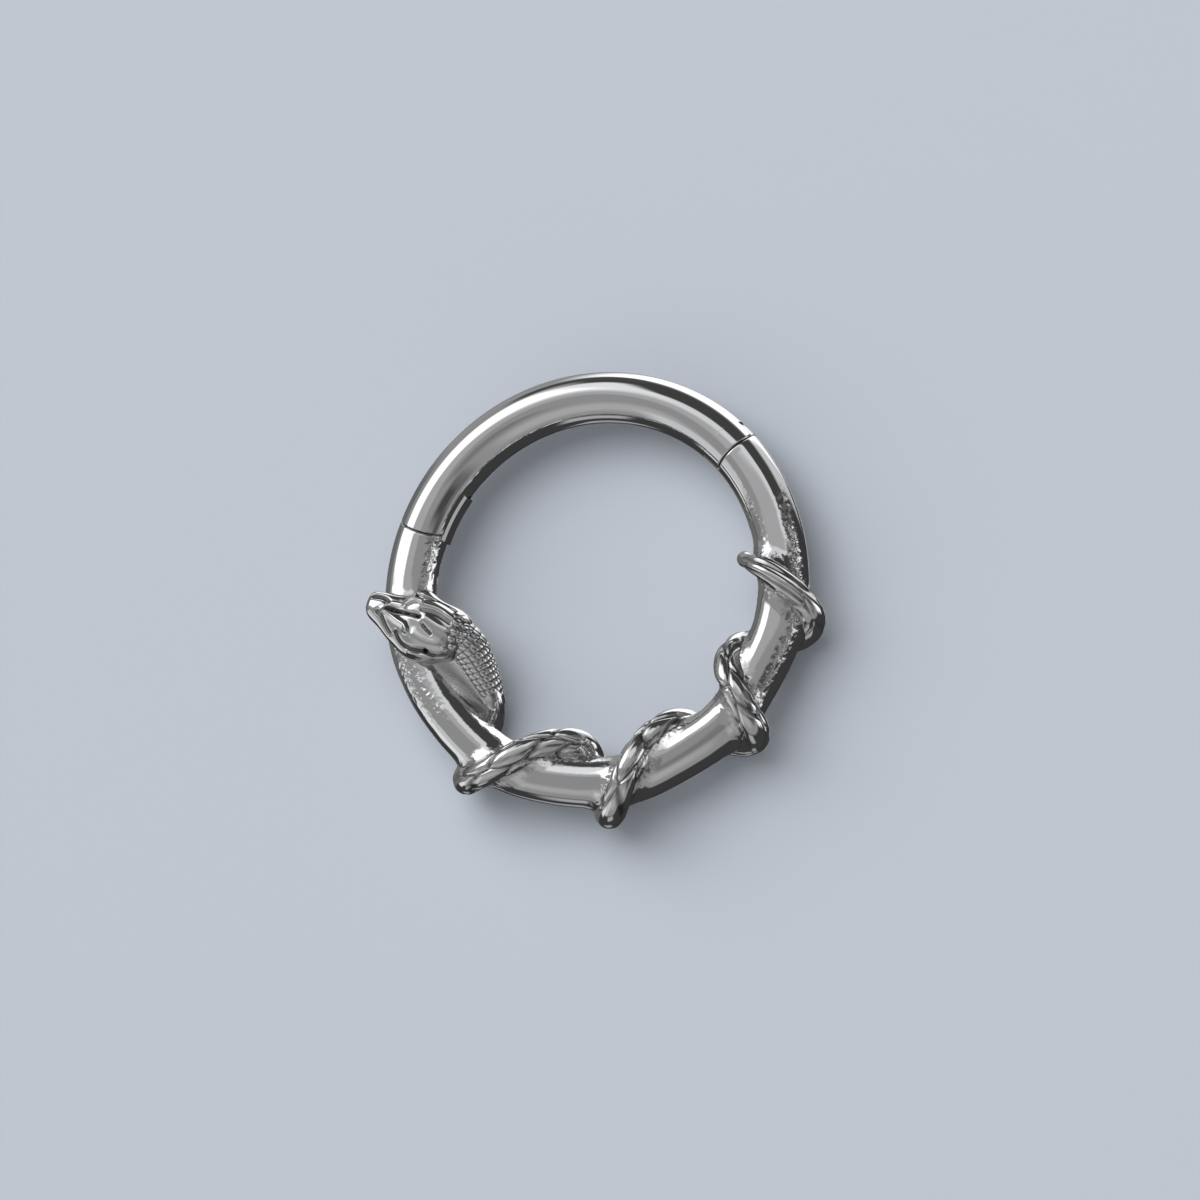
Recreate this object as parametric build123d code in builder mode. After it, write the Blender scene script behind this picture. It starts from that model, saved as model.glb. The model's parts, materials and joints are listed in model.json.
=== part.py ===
from build123d import *

import os
from math import cos, degrees, radians, sin
from typing import NamedTuple

# Hinged segment ring: a round wire ring whose upper arc swings open as a gate.
# The lower arc is cast in one with a snake that winds round the wire from tail to head.
# The ring lies on its side: Z is the ring's axis, the worked face looks up,
# and angles round the ring are degrees clockwise from the top, seen from above.

# Sizes of the ring
inner_diameter = 8.0
wire_diameter = 1.2
hinge_at = 47.5
clasp_at = -69.0
# The clasp's seam leans: it lies further down the casting above than below
clasp_tilt = 20.0
seam_gap = 0.025

# Sizes of the snake
snake_diameter = 0.64
back_rise = 0.08
# How early a wrap runs along the wire before it dives over it; 1 is an even helix
lean = 0.57
neck_width = 1.16
neck_thickness = 0.88
head_width = 1.64
head_thickness = 0.86
tail_knob_diameter = 0.42
snout_diameter = 0.6

# Sizes of the hinge
pin_diameter = 0.22
pin_depth = 0.2
hinge_reach = 0.31
knuckle_thickness = 0.4
knuckle_clearance = 0.02
pin_clearance = 0.02
press_clearance = 0.01

# Sizes of the clasp
tongue_length = 1.15
tongue_height = 0.8
tongue_thickness = 0.4
tongue_proud = 0.05
tongue_root = 0.2
tongue_corner = 0.15
tongue_clearance = 0.025

# Sizes worked out from those above
wire_radius = wire_diameter / 2
ring_radius = (inner_diameter + wire_diameter) / 2
snake_radius = snake_diameter / 2
pin_radius = pin_diameter / 2
mid_height = wire_radius + back_rise + snake_radius
back_stand = back_rise / snake_radius
pin_from_wire = wire_radius - pin_depth
ear_reach = hinge_reach - seam_gap
clockwise = Axis((0, 0, 0), (0, 0, -1))
# Length of a cut that runs well past the wire
past_wire = 2 * wire_diameter
# Stock that each end of the wire has at the clasp before its leaning face is cut
clasp_stock = wire_diameter / 2


class Section(NamedTuple):
    """One section of the snake's body; stand and girth are shares of its radius."""

    at: float  # angle round the ring
    around: float  # angle round the wire: 0 outside, 90 above, 180 inside, 270 below
    stand: float  # height of its centre above the wire's surface
    girth: float  # radius of the section


class Wrap(NamedTuple):
    """One wrap of the body: up on the inside, over the top, down outside and back below."""

    inner_at: float  # angle round the ring where it stands inside the wire
    outer_at: float  # angle round the ring where it stands outside the wire
    inner_stand: float  # heights above the wire's surface, as shares of the snake's radius
    top_stand: float
    outer_stand: float


class Slice(NamedTuple):
    """One slice across a straight axis, such as the head's."""

    along: float  # place, as a share of the axis
    width: float  # half width, as a share of the axis's greatest half width
    thickness: float  # half thickness, as a share of the greatest half thickness
    lift: float  # shift upwards, as a share of the greatest half thickness
    inward: float  # shift towards the ring's centre, as a share of the half width


tail = [
    Section(81.0, 170, 0.89, 0.60),
    Section(83.0, 150, 0.76, 0.72),
    Section(86.5, 115, 0.50, 0.92),
    Section(91.0, 75, 0.38, 1.00),
]
tail_turn = [
    Section(95.0, 35, 0.40, 1.00),
    Section(98.5, 0, 0.50, 1.00),
    Section(102.0, -45, 0.38, 1.00),
    Section(105.5, -90, back_stand, 1.00),
    Section(109.0, -135, 0.44, 1.00),
]
wraps = [
    Wrap(113.0, 131.5, 0.69, 0.31, 0.56),
    Wrap(147.0, 174.5, 0.47, 0.38, 0.56),
    Wrap(184.5, 214.5, 0.94, 0.38, 0.62),
]
neck_root = [
    Section(226.0, 199.5, 1.15, 1.00),
    Section(232.8, 184.7, 1.70, 1.00),
]
neck_start = Section(226.0, 199.5, 0.90, 1.00)
neck_end = Section(248.7, 162.0, 2.10, 1.00)
head_start = Section(249.5, 157.0, 2.26, 1.00)
head_end = Section(266.0, 41.5, 0.63, 1.00)
neck_slices = [
    Slice(0.0, 0.70, 0.80, 0.0, -0.12),
    Slice(0.3, 0.93, 0.96, 0.0, -0.08),
    Slice(0.7, 1.00, 1.00, 0.0, 0.00),
    Slice(1.0, 0.78, 0.90, 0.0, 0.12),
]
head_slices = [
    Slice(0.00, 0.60, 0.86, 0.10, 0.0),
    Slice(0.13, 0.80, 1.00, 0.20, 0.0),
    Slice(0.40, 1.00, 0.98, 0.37, 0.0),
    Slice(0.62, 0.84, 0.90, 0.36, 0.0),
    Slice(0.78, 0.62, 0.74, 0.26, 0.0),
    Slice(0.90, 0.46, 0.66, 0.12, 0.0),
    Slice(1.00, 0.36, 0.66, 0.00, 0.0),
]


def ring_plane(at, out=0.0):
    """Plane square to the wire at an angle round the ring: x outwards, y up."""
    outward = Vector(sin(radians(at)), cos(radians(at)), 0)
    onward = Vector(cos(radians(at)), -sin(radians(at)), 0)
    centre = outward * (ring_radius + out) + Vector(0, 0, mid_height)
    return Plane(origin=centre, x_dir=outward, z_dir=onward)


def clasp_plane(clear=0.0):
    """Plane of the clasp's leaning seam: z towards the gate, set off by a clearance."""
    square = ring_plane(clasp_at)
    lean_up = Vector(0, 0, 1) * sin(radians(clasp_tilt))
    facing = square.z_dir * cos(radians(clasp_tilt)) + lean_up
    return Plane(origin=square.origin + facing * clear, x_dir=square.x_dir, z_dir=facing)


def hinge_plane(height=0.0):
    """Plane across the hinge pin: x along the wire towards the gate, y outwards."""
    seam = ring_plane(hinge_at, pin_from_wire)
    centre = seam.origin - seam.z_dir * hinge_reach + Vector(0, 0, height)
    return Plane(origin=centre, x_dir=-seam.z_dir, z_dir=(0, 0, -1))


def angle_along(length, radius):
    """Angle round the ring that a length along a circle of that radius spans."""
    return degrees(length / radius)


def eased(start, middle, end, share):
    """Value that runs straight from start to middle and from middle to end."""
    if share < 0.5:
        return start + (middle - start) * 2 * share
    return middle + (end - middle) * (2 * share - 1)


def wrap_sections(wrap, next_at, next_stand):
    """Sections of one wrap, four over the top of the wire and four back below it."""
    rows = []
    for quarter in range(4):
        share = quarter / 4
        at = wrap.inner_at + (wrap.outer_at - wrap.inner_at) * share**lean
        stand = eased(wrap.inner_stand, wrap.top_stand, wrap.outer_stand, share)
        rows.append(Section(at, 180 - 180 * share, stand, 1.0))
    for quarter in range(4):
        share = quarter / 4
        at = wrap.outer_at + (next_at - wrap.outer_at) * share
        stand = eased(wrap.outer_stand, back_stand, next_stand, share)
        rows.append(Section(at, -180 * share, stand, 1.0))
    return rows


def section_centre(row):
    """Centre of a section, set off from the wire's centre line."""
    away = wire_radius + row.stand * snake_radius
    across = away * cos(radians(row.around))
    above = away * sin(radians(row.around))
    return ring_plane(row.at).from_local_coords(Vector(across, above, 0))


def swept_body(path, rows, start, end, girth_rows):
    """Round body swept along part of the path, its girth set at the given rows."""
    with BuildPart() as body:
        for index in girth_rows:
            place = path.param_at_point(section_centre(rows[index]))
            with BuildSketch(Plane(origin=path @ place, z_dir=path % place)):
                Circle(rows[index].girth * snake_radius)
        sweep(path=path.trim(start, end), multisection=len(girth_rows) > 1)
    return body.part


def carved_form(start, end, slices, width, thickness):
    """Solid lofted through oval slices square to the straight line between two sections."""
    first = section_centre(start)
    axis = section_centre(end) - first
    across = Vector(0, 0, 1).cross(axis).normalized()
    upward = axis.cross(across).normalized()
    inward = (Vector(0, 0, mid_height) - first).normalized()
    with BuildPart() as form:
        for cut in slices:
            lifted = upward * (cut.lift * thickness / 2)
            shifted = (inward - axis * (inward.dot(axis) / axis.dot(axis))) * (cut.inward * width / 2)
            centre = first + axis * cut.along + lifted + shifted
            with BuildSketch(Plane(origin=centre, x_dir=across, z_dir=axis)):
                Ellipse(cut.width * width / 2, cut.thickness * thickness / 2)
        loft()
    return form.part


# The snake's way from the tip of its tail, over every wrap, to where the neck begins
snake_rows = tail + tail_turn
for index, wrap in enumerate(wraps):
    following = wraps[index + 1] if index + 1 < len(wraps) else None
    next_at = following.inner_at if following else neck_root[0].at
    next_stand = following.inner_stand if following else neck_root[0].stand
    snake_rows += wrap_sections(wrap, next_at, next_stand)
snake_rows += neck_root
with BuildLine() as snake_way:
    Spline(*[section_centre(row) for row in snake_rows])
snake_path = snake_way.edges()[0]
last_tail_row = len(tail) - 1
tail_share = snake_path.param_at_point(section_centre(tail[-1]))
tail_form = swept_body(snake_path, snake_rows, 0, tail_share, range(len(tail)))
body_form = swept_body(snake_path, snake_rows, tail_share, 1, [last_tail_row])
neck_form = carved_form(neck_start, neck_end, neck_slices, neck_width, neck_thickness)
head_form = carved_form(head_start, head_end, head_slices, head_width, head_thickness)

# The clasp's tongue stands out of the casting's free end into the gate
with BuildPart() as clasp_tongue:
    tongue_middle = tongue_height / 2 - wire_radius - tongue_proud
    root_at = clasp_at - angle_along(tongue_root, ring_radius)
    with BuildSketch(ring_plane(root_at)):
        with Locations((tongue_middle, 0)):
            Rectangle(tongue_height, tongue_thickness)
    revolve(axis=clockwise, revolution_arc=angle_along(tongue_root + tongue_length, ring_radius))
    far_end = clasp_tongue.faces().filter_by(GeomType.PLANE).filter_by(Axis.Z, reverse=True)
    far_end = far_end.sort_by_distance(ring_plane(hinge_at).origin)[0]
    outer_corner = far_end.edges().filter_by(Axis.Z).sort_by_distance((0, 0, mid_height))[-1]
    fillet(outer_corner, tongue_corner)

# The casting: lower wire, snake, clasp tongue and the hinge's knuckle in one piece
knuckle_span = angle_along(hinge_reach + pin_depth, ring_radius + pin_from_wire)
with BuildPart() as serpent_arc:
    with BuildSketch(ring_plane(hinge_at - knuckle_span)):
        Circle(wire_radius)
    stock_span = angle_along(clasp_stock, ring_radius)
    lower_span = 360 + clasp_at + stock_span - hinge_at + knuckle_span
    revolve(axis=clockwise, revolution_arc=lower_span)
    with BuildSketch(clasp_plane()):
        Circle(wire_diameter)
    extrude(amount=wire_diameter, mode=Mode.SUBTRACT)
    add(head_form)
    with Locations(section_centre(head_end)):
        Sphere(snout_diameter / 2)
    add(neck_form)
    add(body_form)
    add(tail_form)
    with Locations(section_centre(tail[0])):
        Sphere(tail_knob_diameter / 2)
    add(clasp_tongue.part)
    # Room for the gate's two ears, above and below the knuckle
    for side in (-1, 1):
        with BuildSketch(hinge_plane(side * knuckle_thickness / 2)):
            Circle(hinge_reach)
            with Locations((-hinge_reach, 0)):
                Rectangle(past_wire, past_wire, align=(Align.MIN, Align.MAX))
            Rectangle(past_wire, 2 * past_wire, align=(Align.MIN, Align.CENTER))
        extrude(amount=-side * wire_radius, mode=Mode.SUBTRACT)
    # The knuckle's outer corner is round about the pin
    with BuildSketch(hinge_plane()):
        Rectangle(past_wire, past_wire, align=(Align.MIN, Align.MIN))
        Circle(pin_depth, mode=Mode.SUBTRACT)
        with Locations((pin_depth, 0)):
            Rectangle(past_wire, 2 * past_wire, align=(Align.MIN, Align.CENTER))
    extrude(amount=wire_radius, both=True, mode=Mode.SUBTRACT)
    with BuildSketch(hinge_plane()):
        Circle(pin_radius + pin_clearance)
    extrude(amount=wire_radius, both=True, mode=Mode.SUBTRACT)

# The gate: the smooth upper wire, slotted for the tongue and forked for the knuckle
gate_start = clasp_at - stock_span
with BuildPart() as hinged_gate:
    with BuildSketch(ring_plane(gate_start)):
        Circle(wire_radius)
    revolve(axis=clockwise, revolution_arc=hinge_at - gate_start)
    with BuildSketch(clasp_plane(seam_gap)):
        Circle(wire_diameter)
    extrude(amount=-wire_diameter, mode=Mode.SUBTRACT)
    # Slot for the tongue, open to the inside and to the free end
    with BuildSketch(ring_plane(root_at)):
        slot_height = tongue_height + tongue_clearance + wire_radius
        with Locations((tongue_middle + tongue_height / 2 + tongue_clearance, 0)):
            Rectangle(
                slot_height,
                tongue_thickness + 2 * tongue_clearance,
                align=(Align.MAX, Align.CENTER),
            )
    slot_length = tongue_root + tongue_length + tongue_clearance
    slot_span = angle_along(slot_length, ring_radius - wire_radius)
    revolve(axis=clockwise, revolution_arc=slot_span, mode=Mode.SUBTRACT)
    # Ears round about the pin, clear of the casting's end
    with BuildSketch(hinge_plane()):
        with Locations((-ear_reach, 0)):
            Rectangle(past_wire, 2 * past_wire, align=(Align.MAX, Align.CENTER))
        Rectangle(past_wire, past_wire, align=(Align.MAX, Align.MIN))
        Circle(ear_reach, mode=Mode.SUBTRACT)
    extrude(amount=wire_radius, both=True, mode=Mode.SUBTRACT)
    # Room for the knuckle between the ears
    with BuildSketch(hinge_plane()):
        with Locations((pin_depth + knuckle_clearance, 0)):
            Rectangle(past_wire, 2 * past_wire, align=(Align.MAX, Align.CENTER))
    extrude(amount=knuckle_thickness / 2 + knuckle_clearance, both=True, mode=Mode.SUBTRACT)
    with BuildSketch(hinge_plane()):
        Circle(pin_radius + press_clearance)
    extrude(amount=wire_radius, both=True, mode=Mode.SUBTRACT)

# The pin, ground flush with the wire at both ends
with BuildPart() as hinge_pin:
    with BuildSketch(ring_plane(0)):
        Circle(wire_radius)
    revolve(axis=clockwise, revolution_arc=2 * hinge_at)
    with BuildSketch(hinge_plane()):
        Circle(pin_radius)
    extrude(amount=wire_radius, both=True, mode=Mode.INTERSECT)

os.makedirs("parts", exist_ok=True)
pieces = {
    "serpent_arc": serpent_arc,
    "hinged_gate": hinged_gate,
    "hinge_pin": hinge_pin,
}
for name, piece in pieces.items():
    piece.part.label = name
    export_step(piece.part, f"parts/{name}.step")
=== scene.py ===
"""Looks of the hinged segment ring: a polished gate over a cast arc with a snake wound round it.

Shapes are worked out in millimetres in the ring's own coordinates and written to meshes in metres.
Angles round the ring are degrees clockwise from the top, seen from above; angles round the wire are
0 outside, 90 above, 180 inside and 270 below.
"""

import json
import logging
import math
from abc import ABC, abstractmethod
from dataclasses import dataclass
from enum import Enum
from typing import NamedTuple

import bpy
import numpy as np
from mathutils import Matrix, Vector


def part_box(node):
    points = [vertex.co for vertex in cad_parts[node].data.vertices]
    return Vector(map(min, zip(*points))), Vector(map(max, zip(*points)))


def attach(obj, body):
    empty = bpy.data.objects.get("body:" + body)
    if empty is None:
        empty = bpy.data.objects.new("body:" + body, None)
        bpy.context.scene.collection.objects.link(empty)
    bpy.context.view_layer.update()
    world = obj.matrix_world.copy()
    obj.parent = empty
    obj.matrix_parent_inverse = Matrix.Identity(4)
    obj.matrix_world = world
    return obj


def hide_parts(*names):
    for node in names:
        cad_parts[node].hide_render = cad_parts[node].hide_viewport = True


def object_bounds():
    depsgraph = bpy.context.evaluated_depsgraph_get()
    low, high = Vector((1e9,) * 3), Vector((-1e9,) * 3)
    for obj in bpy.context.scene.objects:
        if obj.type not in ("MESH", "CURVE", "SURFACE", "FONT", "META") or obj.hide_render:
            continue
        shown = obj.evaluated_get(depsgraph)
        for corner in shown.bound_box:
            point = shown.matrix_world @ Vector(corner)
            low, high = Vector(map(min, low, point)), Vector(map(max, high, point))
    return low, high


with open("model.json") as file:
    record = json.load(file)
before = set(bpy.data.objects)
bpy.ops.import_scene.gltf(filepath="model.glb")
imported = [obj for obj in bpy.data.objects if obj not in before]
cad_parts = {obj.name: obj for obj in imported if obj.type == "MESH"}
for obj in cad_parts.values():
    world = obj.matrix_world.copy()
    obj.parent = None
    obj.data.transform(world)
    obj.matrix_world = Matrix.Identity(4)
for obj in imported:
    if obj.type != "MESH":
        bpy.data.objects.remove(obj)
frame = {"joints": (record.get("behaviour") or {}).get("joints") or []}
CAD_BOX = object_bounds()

MM = 0.001
LOG = logging.getLogger("segment_ring")
Array = np.ndarray
UP = np.array([0.0, 0.0, 1.0])
# Edge of an end that lies flush against its neighbour, in mm
FLUSH = 0.0005
# Points whose distances are worked out at one time
BLOCK_SIZE = 6000
# Rows of lobes that have random changes of their own
LOBE_ROWS = 400
# Share of a round face's reach that is used, which keeps its root above nothing
REACH_SHARE = 0.999


class Body(Enum):
    """The two rigid bodies of the ring."""

    CASTING = "casting"
    GATE = "gate"


class Closing(Enum):
    """How the two ends of a tube are closed."""

    FLAT = "one flat face"
    POLE = "a fan round one point"


class Section(NamedTuple):
    """One section of the snake's body; stand and girth are shares of its radius."""

    at: float
    around: float
    stand: float
    girth: float


class Wrap(NamedTuple):
    """One wrap of the body: up on the inside, over the top, down outside and back below."""

    inner_at: float
    outer_at: float
    inner_stand: float
    top_stand: float
    outer_stand: float


class Ridge(NamedTuple):
    """A ridge along a few points, or a groove where its height is below zero."""

    height: float
    half_width: float
    points: tuple[tuple[float, float], ...]


class Slice(NamedTuple):
    """One slice across the head: its two edges and its top and bottom, in millimetres."""

    along: float
    edge_low: float
    edge_high: float
    top: float
    bottom: float


class Drift(NamedTuple):
    """How far the lower wire strays outwards from a true circle."""

    at: float
    out: float


class Feature(NamedTuple):
    """A small round boss: its place along and across, its radius and its height."""

    along: float
    across: float
    radius: float
    height: float


class GrainBand(NamedTuple):
    """A strip of cast grain along the wire, in degrees round the wire and round the ring.

    It comes in over one stretch of the ring and dies out over another.
    """

    around: float
    half_width: float
    begin: tuple[float, float]
    end: tuple[float, float] | None
    strength: float


class NoiseLayer(NamedTuple):
    """One layer of noise: the size of its cells in mm, its share and its seed."""

    cell: float
    share: float
    seed: int


class Groove(NamedTuple):
    """A groove along the tail: its angle in degrees, depth in mm and half width in radians."""

    around: float
    depth: float
    half_width: float


class NeckPoint(NamedTuple):
    """A point of the neck's centre line from the ring's middle and mid-height, and the radius."""

    x: float
    y: float
    height: float
    radius: float


def smooth_through(knots: Array, values: Array, at: Array) -> Array:
    """Natural cubic curve through given values.

    The second derivatives solve the usual three-term rows, and each span is the cubic that takes
    the values and second derivatives of its two ends.

    Args:
        knots: rising places of the values, shape (n,).
        values: values there, shape (n,) or (n, m).
        at: places to work out, inside the knots or beyond the ends, where the end cubic goes on.

    Returns:
        The values at those places, shape (len(at),) or (len(at), m).
    """
    knots = np.asarray(knots, float)
    flat = np.asarray(values, float).reshape(len(knots), -1)
    span = np.diff(knots)
    rows = np.eye(len(knots))
    right = np.zeros_like(flat)
    inner = np.arange(1, len(knots) - 1)
    rows[inner, inner - 1] = span[:-1]
    rows[inner, inner] = 2 * (span[:-1] + span[1:])
    rows[inner, inner + 1] = span[1:]
    slope = np.diff(flat, axis=0) / span[:, None]
    right[inner] = 6 * np.diff(slope, axis=0)
    bend = np.linalg.solve(rows, right)
    index = np.clip(np.searchsorted(knots, at) - 1, 0, len(span) - 1)
    width = span[index][:, None]
    after = (at - knots[index])[:, None]
    before = width - after
    result = (
        (bend[index] * before**3 + bend[index + 1] * after**3) / (6 * width)
        + (flat[index] / width - bend[index] * width / 6) * before
        + (flat[index + 1] / width - bend[index + 1] * width / 6) * after
    )
    return result.reshape((len(at),) + np.shape(values)[1:])


def level(value: Array, start: float, end: float) -> Array:
    """Eased step: 0 before start, 1 after end, and 3t² − 2t³ between."""
    share = np.clip((value - start) / (end - start), 0, 1)
    return share * share * (3 - 2 * share)


def lattice_noise(along: Array, around: Array, cell: float, girth: float, seed: int) -> Array:
    """Smooth noise from −1 to 1 on a surface that closes round one way.

    Random values stand on a lattice of square cells, and each point takes the eased mix of the four
    corners of its cell. The lattice closes on itself round the girth.

    Args:
        along: length along the surface in mm.
        around: length round it in mm.
        cell: size of a cell in mm.
        girth: length once round in mm.
        seed: seed of the random values.

    Returns:
        Noise with the shape of along.
    """
    turns = max(3, round(girth / cell))
    across = np.mod(around / girth, 1.0) * turns
    length = (along - along.min()) / cell
    rows = int(length.max()) + 3
    values = np.random.default_rng(seed).uniform(-1, 1, (rows, turns))
    row = length.astype(int)
    column = across.astype(int) % turns
    following = (column + 1) % turns
    down = length - row
    down = down * down * (3 - 2 * down)
    side = across - np.floor(across)
    side = side * side * (3 - 2 * side)
    first = values[row, column] * (1 - side) + values[row, following] * side
    second = values[row + 1, column] * (1 - side) + values[row + 1, following] * side
    return first * (1 - down) + second * down


def layered_noise(
    along: Array, around: Array, girth: float, layers: tuple[NoiseLayer, ...]
) -> Array:
    """Layers of lattice noise, each times its share, added up.

    Args:
        along: length along the surface in mm.
        around: length round it in mm.
        girth: length once round in mm.
        layers: the layers to add.

    Returns:
        Noise with the shape of along.
    """
    total = np.zeros_like(along)
    for layer in layers:
        total += layer.share * lattice_noise(along, around, layer.cell, girth, layer.seed)
    return total


def clearance(points: Array, line: Array, radius: Array) -> Array:
    """Distance from points to a round body along a line, below zero inside it.

    The squared distance is |p|² + |q|² − 2 p·q for every pair, block by block, and the least
    distance less the body's radius there is kept.

    Args:
        points: shape (..., 3).
        line: points of the body's centre line, shape (m, 3).
        radius: the body's radius at each of them, shape (m,).

    Returns:
        Distances, shape (...).
    """
    flat = points.reshape(-1, 3)
    found = []
    for block in np.array_split(flat, max(1, len(flat) // BLOCK_SIZE)):
        square = (block**2).sum(1)[:, None] + (line**2).sum(1)[None] - 2 * block @ line.T
        found.append((np.sqrt(np.maximum(square, 0)) - radius[None]).min(1))
    return np.concatenate(found).reshape(points.shape[:-1])


def fillet(clear: Array, reach: float) -> Array:
    """Height of a fillet: a quarter of its reach at the joint, easing to nothing at its reach.

    Outside the neighbour it is reach/4 · (1 − clear/reach)², and inside it dies away again.

    Args:
        clear: distance to the neighbour in mm, below zero inside it.
        reach: how far from the neighbour the fillet goes, in mm.

    Returns:
        The fillet's height in mm, with the shape of clear.
    """
    outside = reach / 4 * np.clip(1 - np.maximum(clear, 0) / reach, 0, 1) ** 2
    return outside * np.clip(1 + np.minimum(clear, 0) / (0.5 * reach), 0, 1)


def signed_volume(grid: Array) -> float:
    """Six times the volume inside a tube, below zero where its faces would point inwards.

    It is the sum of the triple products of each triangle's corners, counted from the middle.

    Args:
        grid: points of the tube, shape (rows, columns, 3).

    Returns:
        The signed sum.
    """
    corner = grid[:-1]
    beside = np.roll(grid, -1, axis=1)[:-1]
    over = np.roll(grid, -1, axis=1)[1:]
    above = grid[1:]
    middle = grid.mean(axis=(0, 1))
    one = ((corner - middle) * np.cross(beside - middle, over - middle)).sum()
    two = ((corner - middle) * np.cross(over - middle, above - middle)).sum()
    return float(one + two)


@dataclass(frozen=True)
class RingFrame:
    """The ring's own coordinates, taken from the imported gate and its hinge, in mm."""

    ring_radius: float
    wire_radius: float
    mid_height: float
    pin_place: tuple[float, float]

    @classmethod
    def from_cad(cls) -> "RingFrame":
        """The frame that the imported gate's box and the hinge's place give.

        Returns:
            The ring's coordinates.
        """
        low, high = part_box("hinged_gate")
        wire_radius = (high.z - low.z) / 2 / MM
        pin = frame["joints"][0]["pos_m"]
        return cls(
            ring_radius=high.y / MM - wire_radius,
            wire_radius=wire_radius,
            mid_height=(high.z + low.z) / 2 / MM,
            pin_place=(pin[0] / MM, pin[1] / MM),
        )

    def place(self, at: Array, across: Array, above: Array) -> Array:
        """Points at an angle round the ring and an offset from the wire's centre line.

        A point is (ring radius + across) outwards, and the mid height + above upwards.

        Args:
            at: angle round the ring in degrees.
            across: offset outwards in mm.
            above: offset upwards in mm.

        Returns:
            Points, shape (..., 3).
        """
        turn = np.radians(at)
        radius = self.ring_radius + across
        height = np.broadcast_to(self.mid_height + above, np.broadcast(turn, radius).shape)
        return np.stack([np.sin(turn) * radius, np.cos(turn) * radius, height], axis=-1)

    def beside(self, at: Array, around: Array, away: Array) -> Array:
        """Points at an angle round the wire and a distance from its centre line."""
        turn = np.radians(around)
        return self.place(at, away * np.cos(turn), away * np.sin(turn))

    def wire_line(self, points: Array) -> Array:
        """Nearest points of the wire's centre line: the direction from the axis · the radius.

        Args:
            points: shape (..., 3).

        Returns:
            Points on the centre line, shape (..., 3).
        """
        flat = points * np.array([1.0, 1.0, 0.0])
        flat = flat / np.linalg.norm(flat, axis=-1, keepdims=True) * self.ring_radius
        return flat + UP * self.mid_height

    def wire_clearance(self, points: Array) -> Array:
        """Distance from points to the wire's surface, below zero inside it."""
        return np.linalg.norm(points - self.wire_line(points), axis=-1) - self.wire_radius


class EndFace(ABC):
    """The face that ends a run of the wire: an angle round the ring for each point of it."""

    @abstractmethod
    def angle(self, across: Array, above: Array) -> Array:
        """Where the face passes an offset from the wire.

        Args:
            across: offset outwards in mm.
            above: offset upwards in mm.

        Returns:
            Angle round the ring in degrees, with the offsets' shape.
        """


@dataclass(frozen=True)
class FlatEnd(EndFace):
    """A flat face square to the wire at an angle, set off onwards by a shift in mm."""

    ring: RingFrame
    at: float
    shift: float = 0.0

    def angle(self, across: Array, above: Array) -> Array:
        """The angle whose sine is the shift over the distance from the ring's centre."""
        return self.at + np.degrees(np.arcsin(self.shift / (self.ring.ring_radius + across)))


@dataclass(frozen=True)
class LeaningEnd(EndFace):
    """The clasp's face, which leans so that it lies further down the casting above than below."""

    ring: RingFrame
    at: float
    tilt: float
    clear: float = 0.0

    def angle(self, across: Array, above: Array) -> Array:
        """Solves sin(turn) · radius · cos(tilt) + above · sin(tilt) = clear for the turn.

        Args:
            across: offset outwards in mm.
            above: offset upwards in mm.

        Returns:
            Angle round the ring in degrees.
        """
        tilt = math.radians(self.tilt)
        reach = (self.ring.ring_radius + across) * math.cos(tilt)
        return self.at + np.degrees(np.arcsin((self.clear - above * math.sin(tilt)) / reach))


@dataclass(frozen=True)
class RoundedEnd(EndFace):
    """A face at the hinge, flat inside the pin and round about the pin outside it."""

    ring: RingFrame
    at: float
    pin_back: float
    pin_out: float
    reach: float
    side: int

    def angle(self, across: Array, above: Array) -> Array:
        """Goes side · √(reach² − outside²) onwards from the pin, where outside is never below 0.

        Args:
            across: offset outwards in mm.
            above: offset upwards in mm.

        Returns:
            Angle round the ring in degrees.
        """
        outside = np.clip(across - self.pin_out, 0, self.reach * REACH_SHARE)
        onward = self.side * np.sqrt(self.reach**2 - outside**2) - self.pin_back
        return self.at + np.degrees(np.arcsin(onward / (self.ring.ring_radius + across)))


class NodeDesk:
    """Short ways to add and join shader nodes."""

    def __init__(self, owner: bpy.types.Material | bpy.types.World) -> None:
        """Takes over a node tree and empties it.

        Args:
            owner: the material or the room that has the tree.
        """
        owner.use_nodes = True
        self.tree = owner.node_tree
        self.tree.nodes.clear()

    def add(self, kind: str, **settings: object) -> bpy.types.Node:
        """A new node of a kind, with its settings and input values.

        Args:
            kind: Blender's name of the node.
            settings: attributes of the node, or input sockets' values under in_ and their name.

        Returns:
            The node.
        """
        node = self.tree.nodes.new(kind)
        for name, value in settings.items():
            if name.startswith("in_"):
                node.inputs[name[3:].replace("_", " ")].default_value = value
            else:
                setattr(node, name, value)
        return node

    def join(self, source: bpy.types.NodeSocket, target: bpy.types.NodeSocket) -> None:
        """Links one socket to another."""
        self.tree.links.new(source, target)

    def maths(self, operation: str, first: object, second: object) -> bpy.types.NodeSocket:
        """Works out one operation on two values.

        Args:
            operation: Blender's name of the operation.
            first: a number or a socket.
            second: a number or a socket.

        Returns:
            The socket with the result.
        """
        node = self.add("ShaderNodeMath", operation=operation)
        for socket, value in zip(node.inputs, (first, second)):
            if isinstance(value, bpy.types.NodeSocket):
                self.join(value, socket)
            else:
                socket.default_value = value
        return node.outputs[0]


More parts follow.
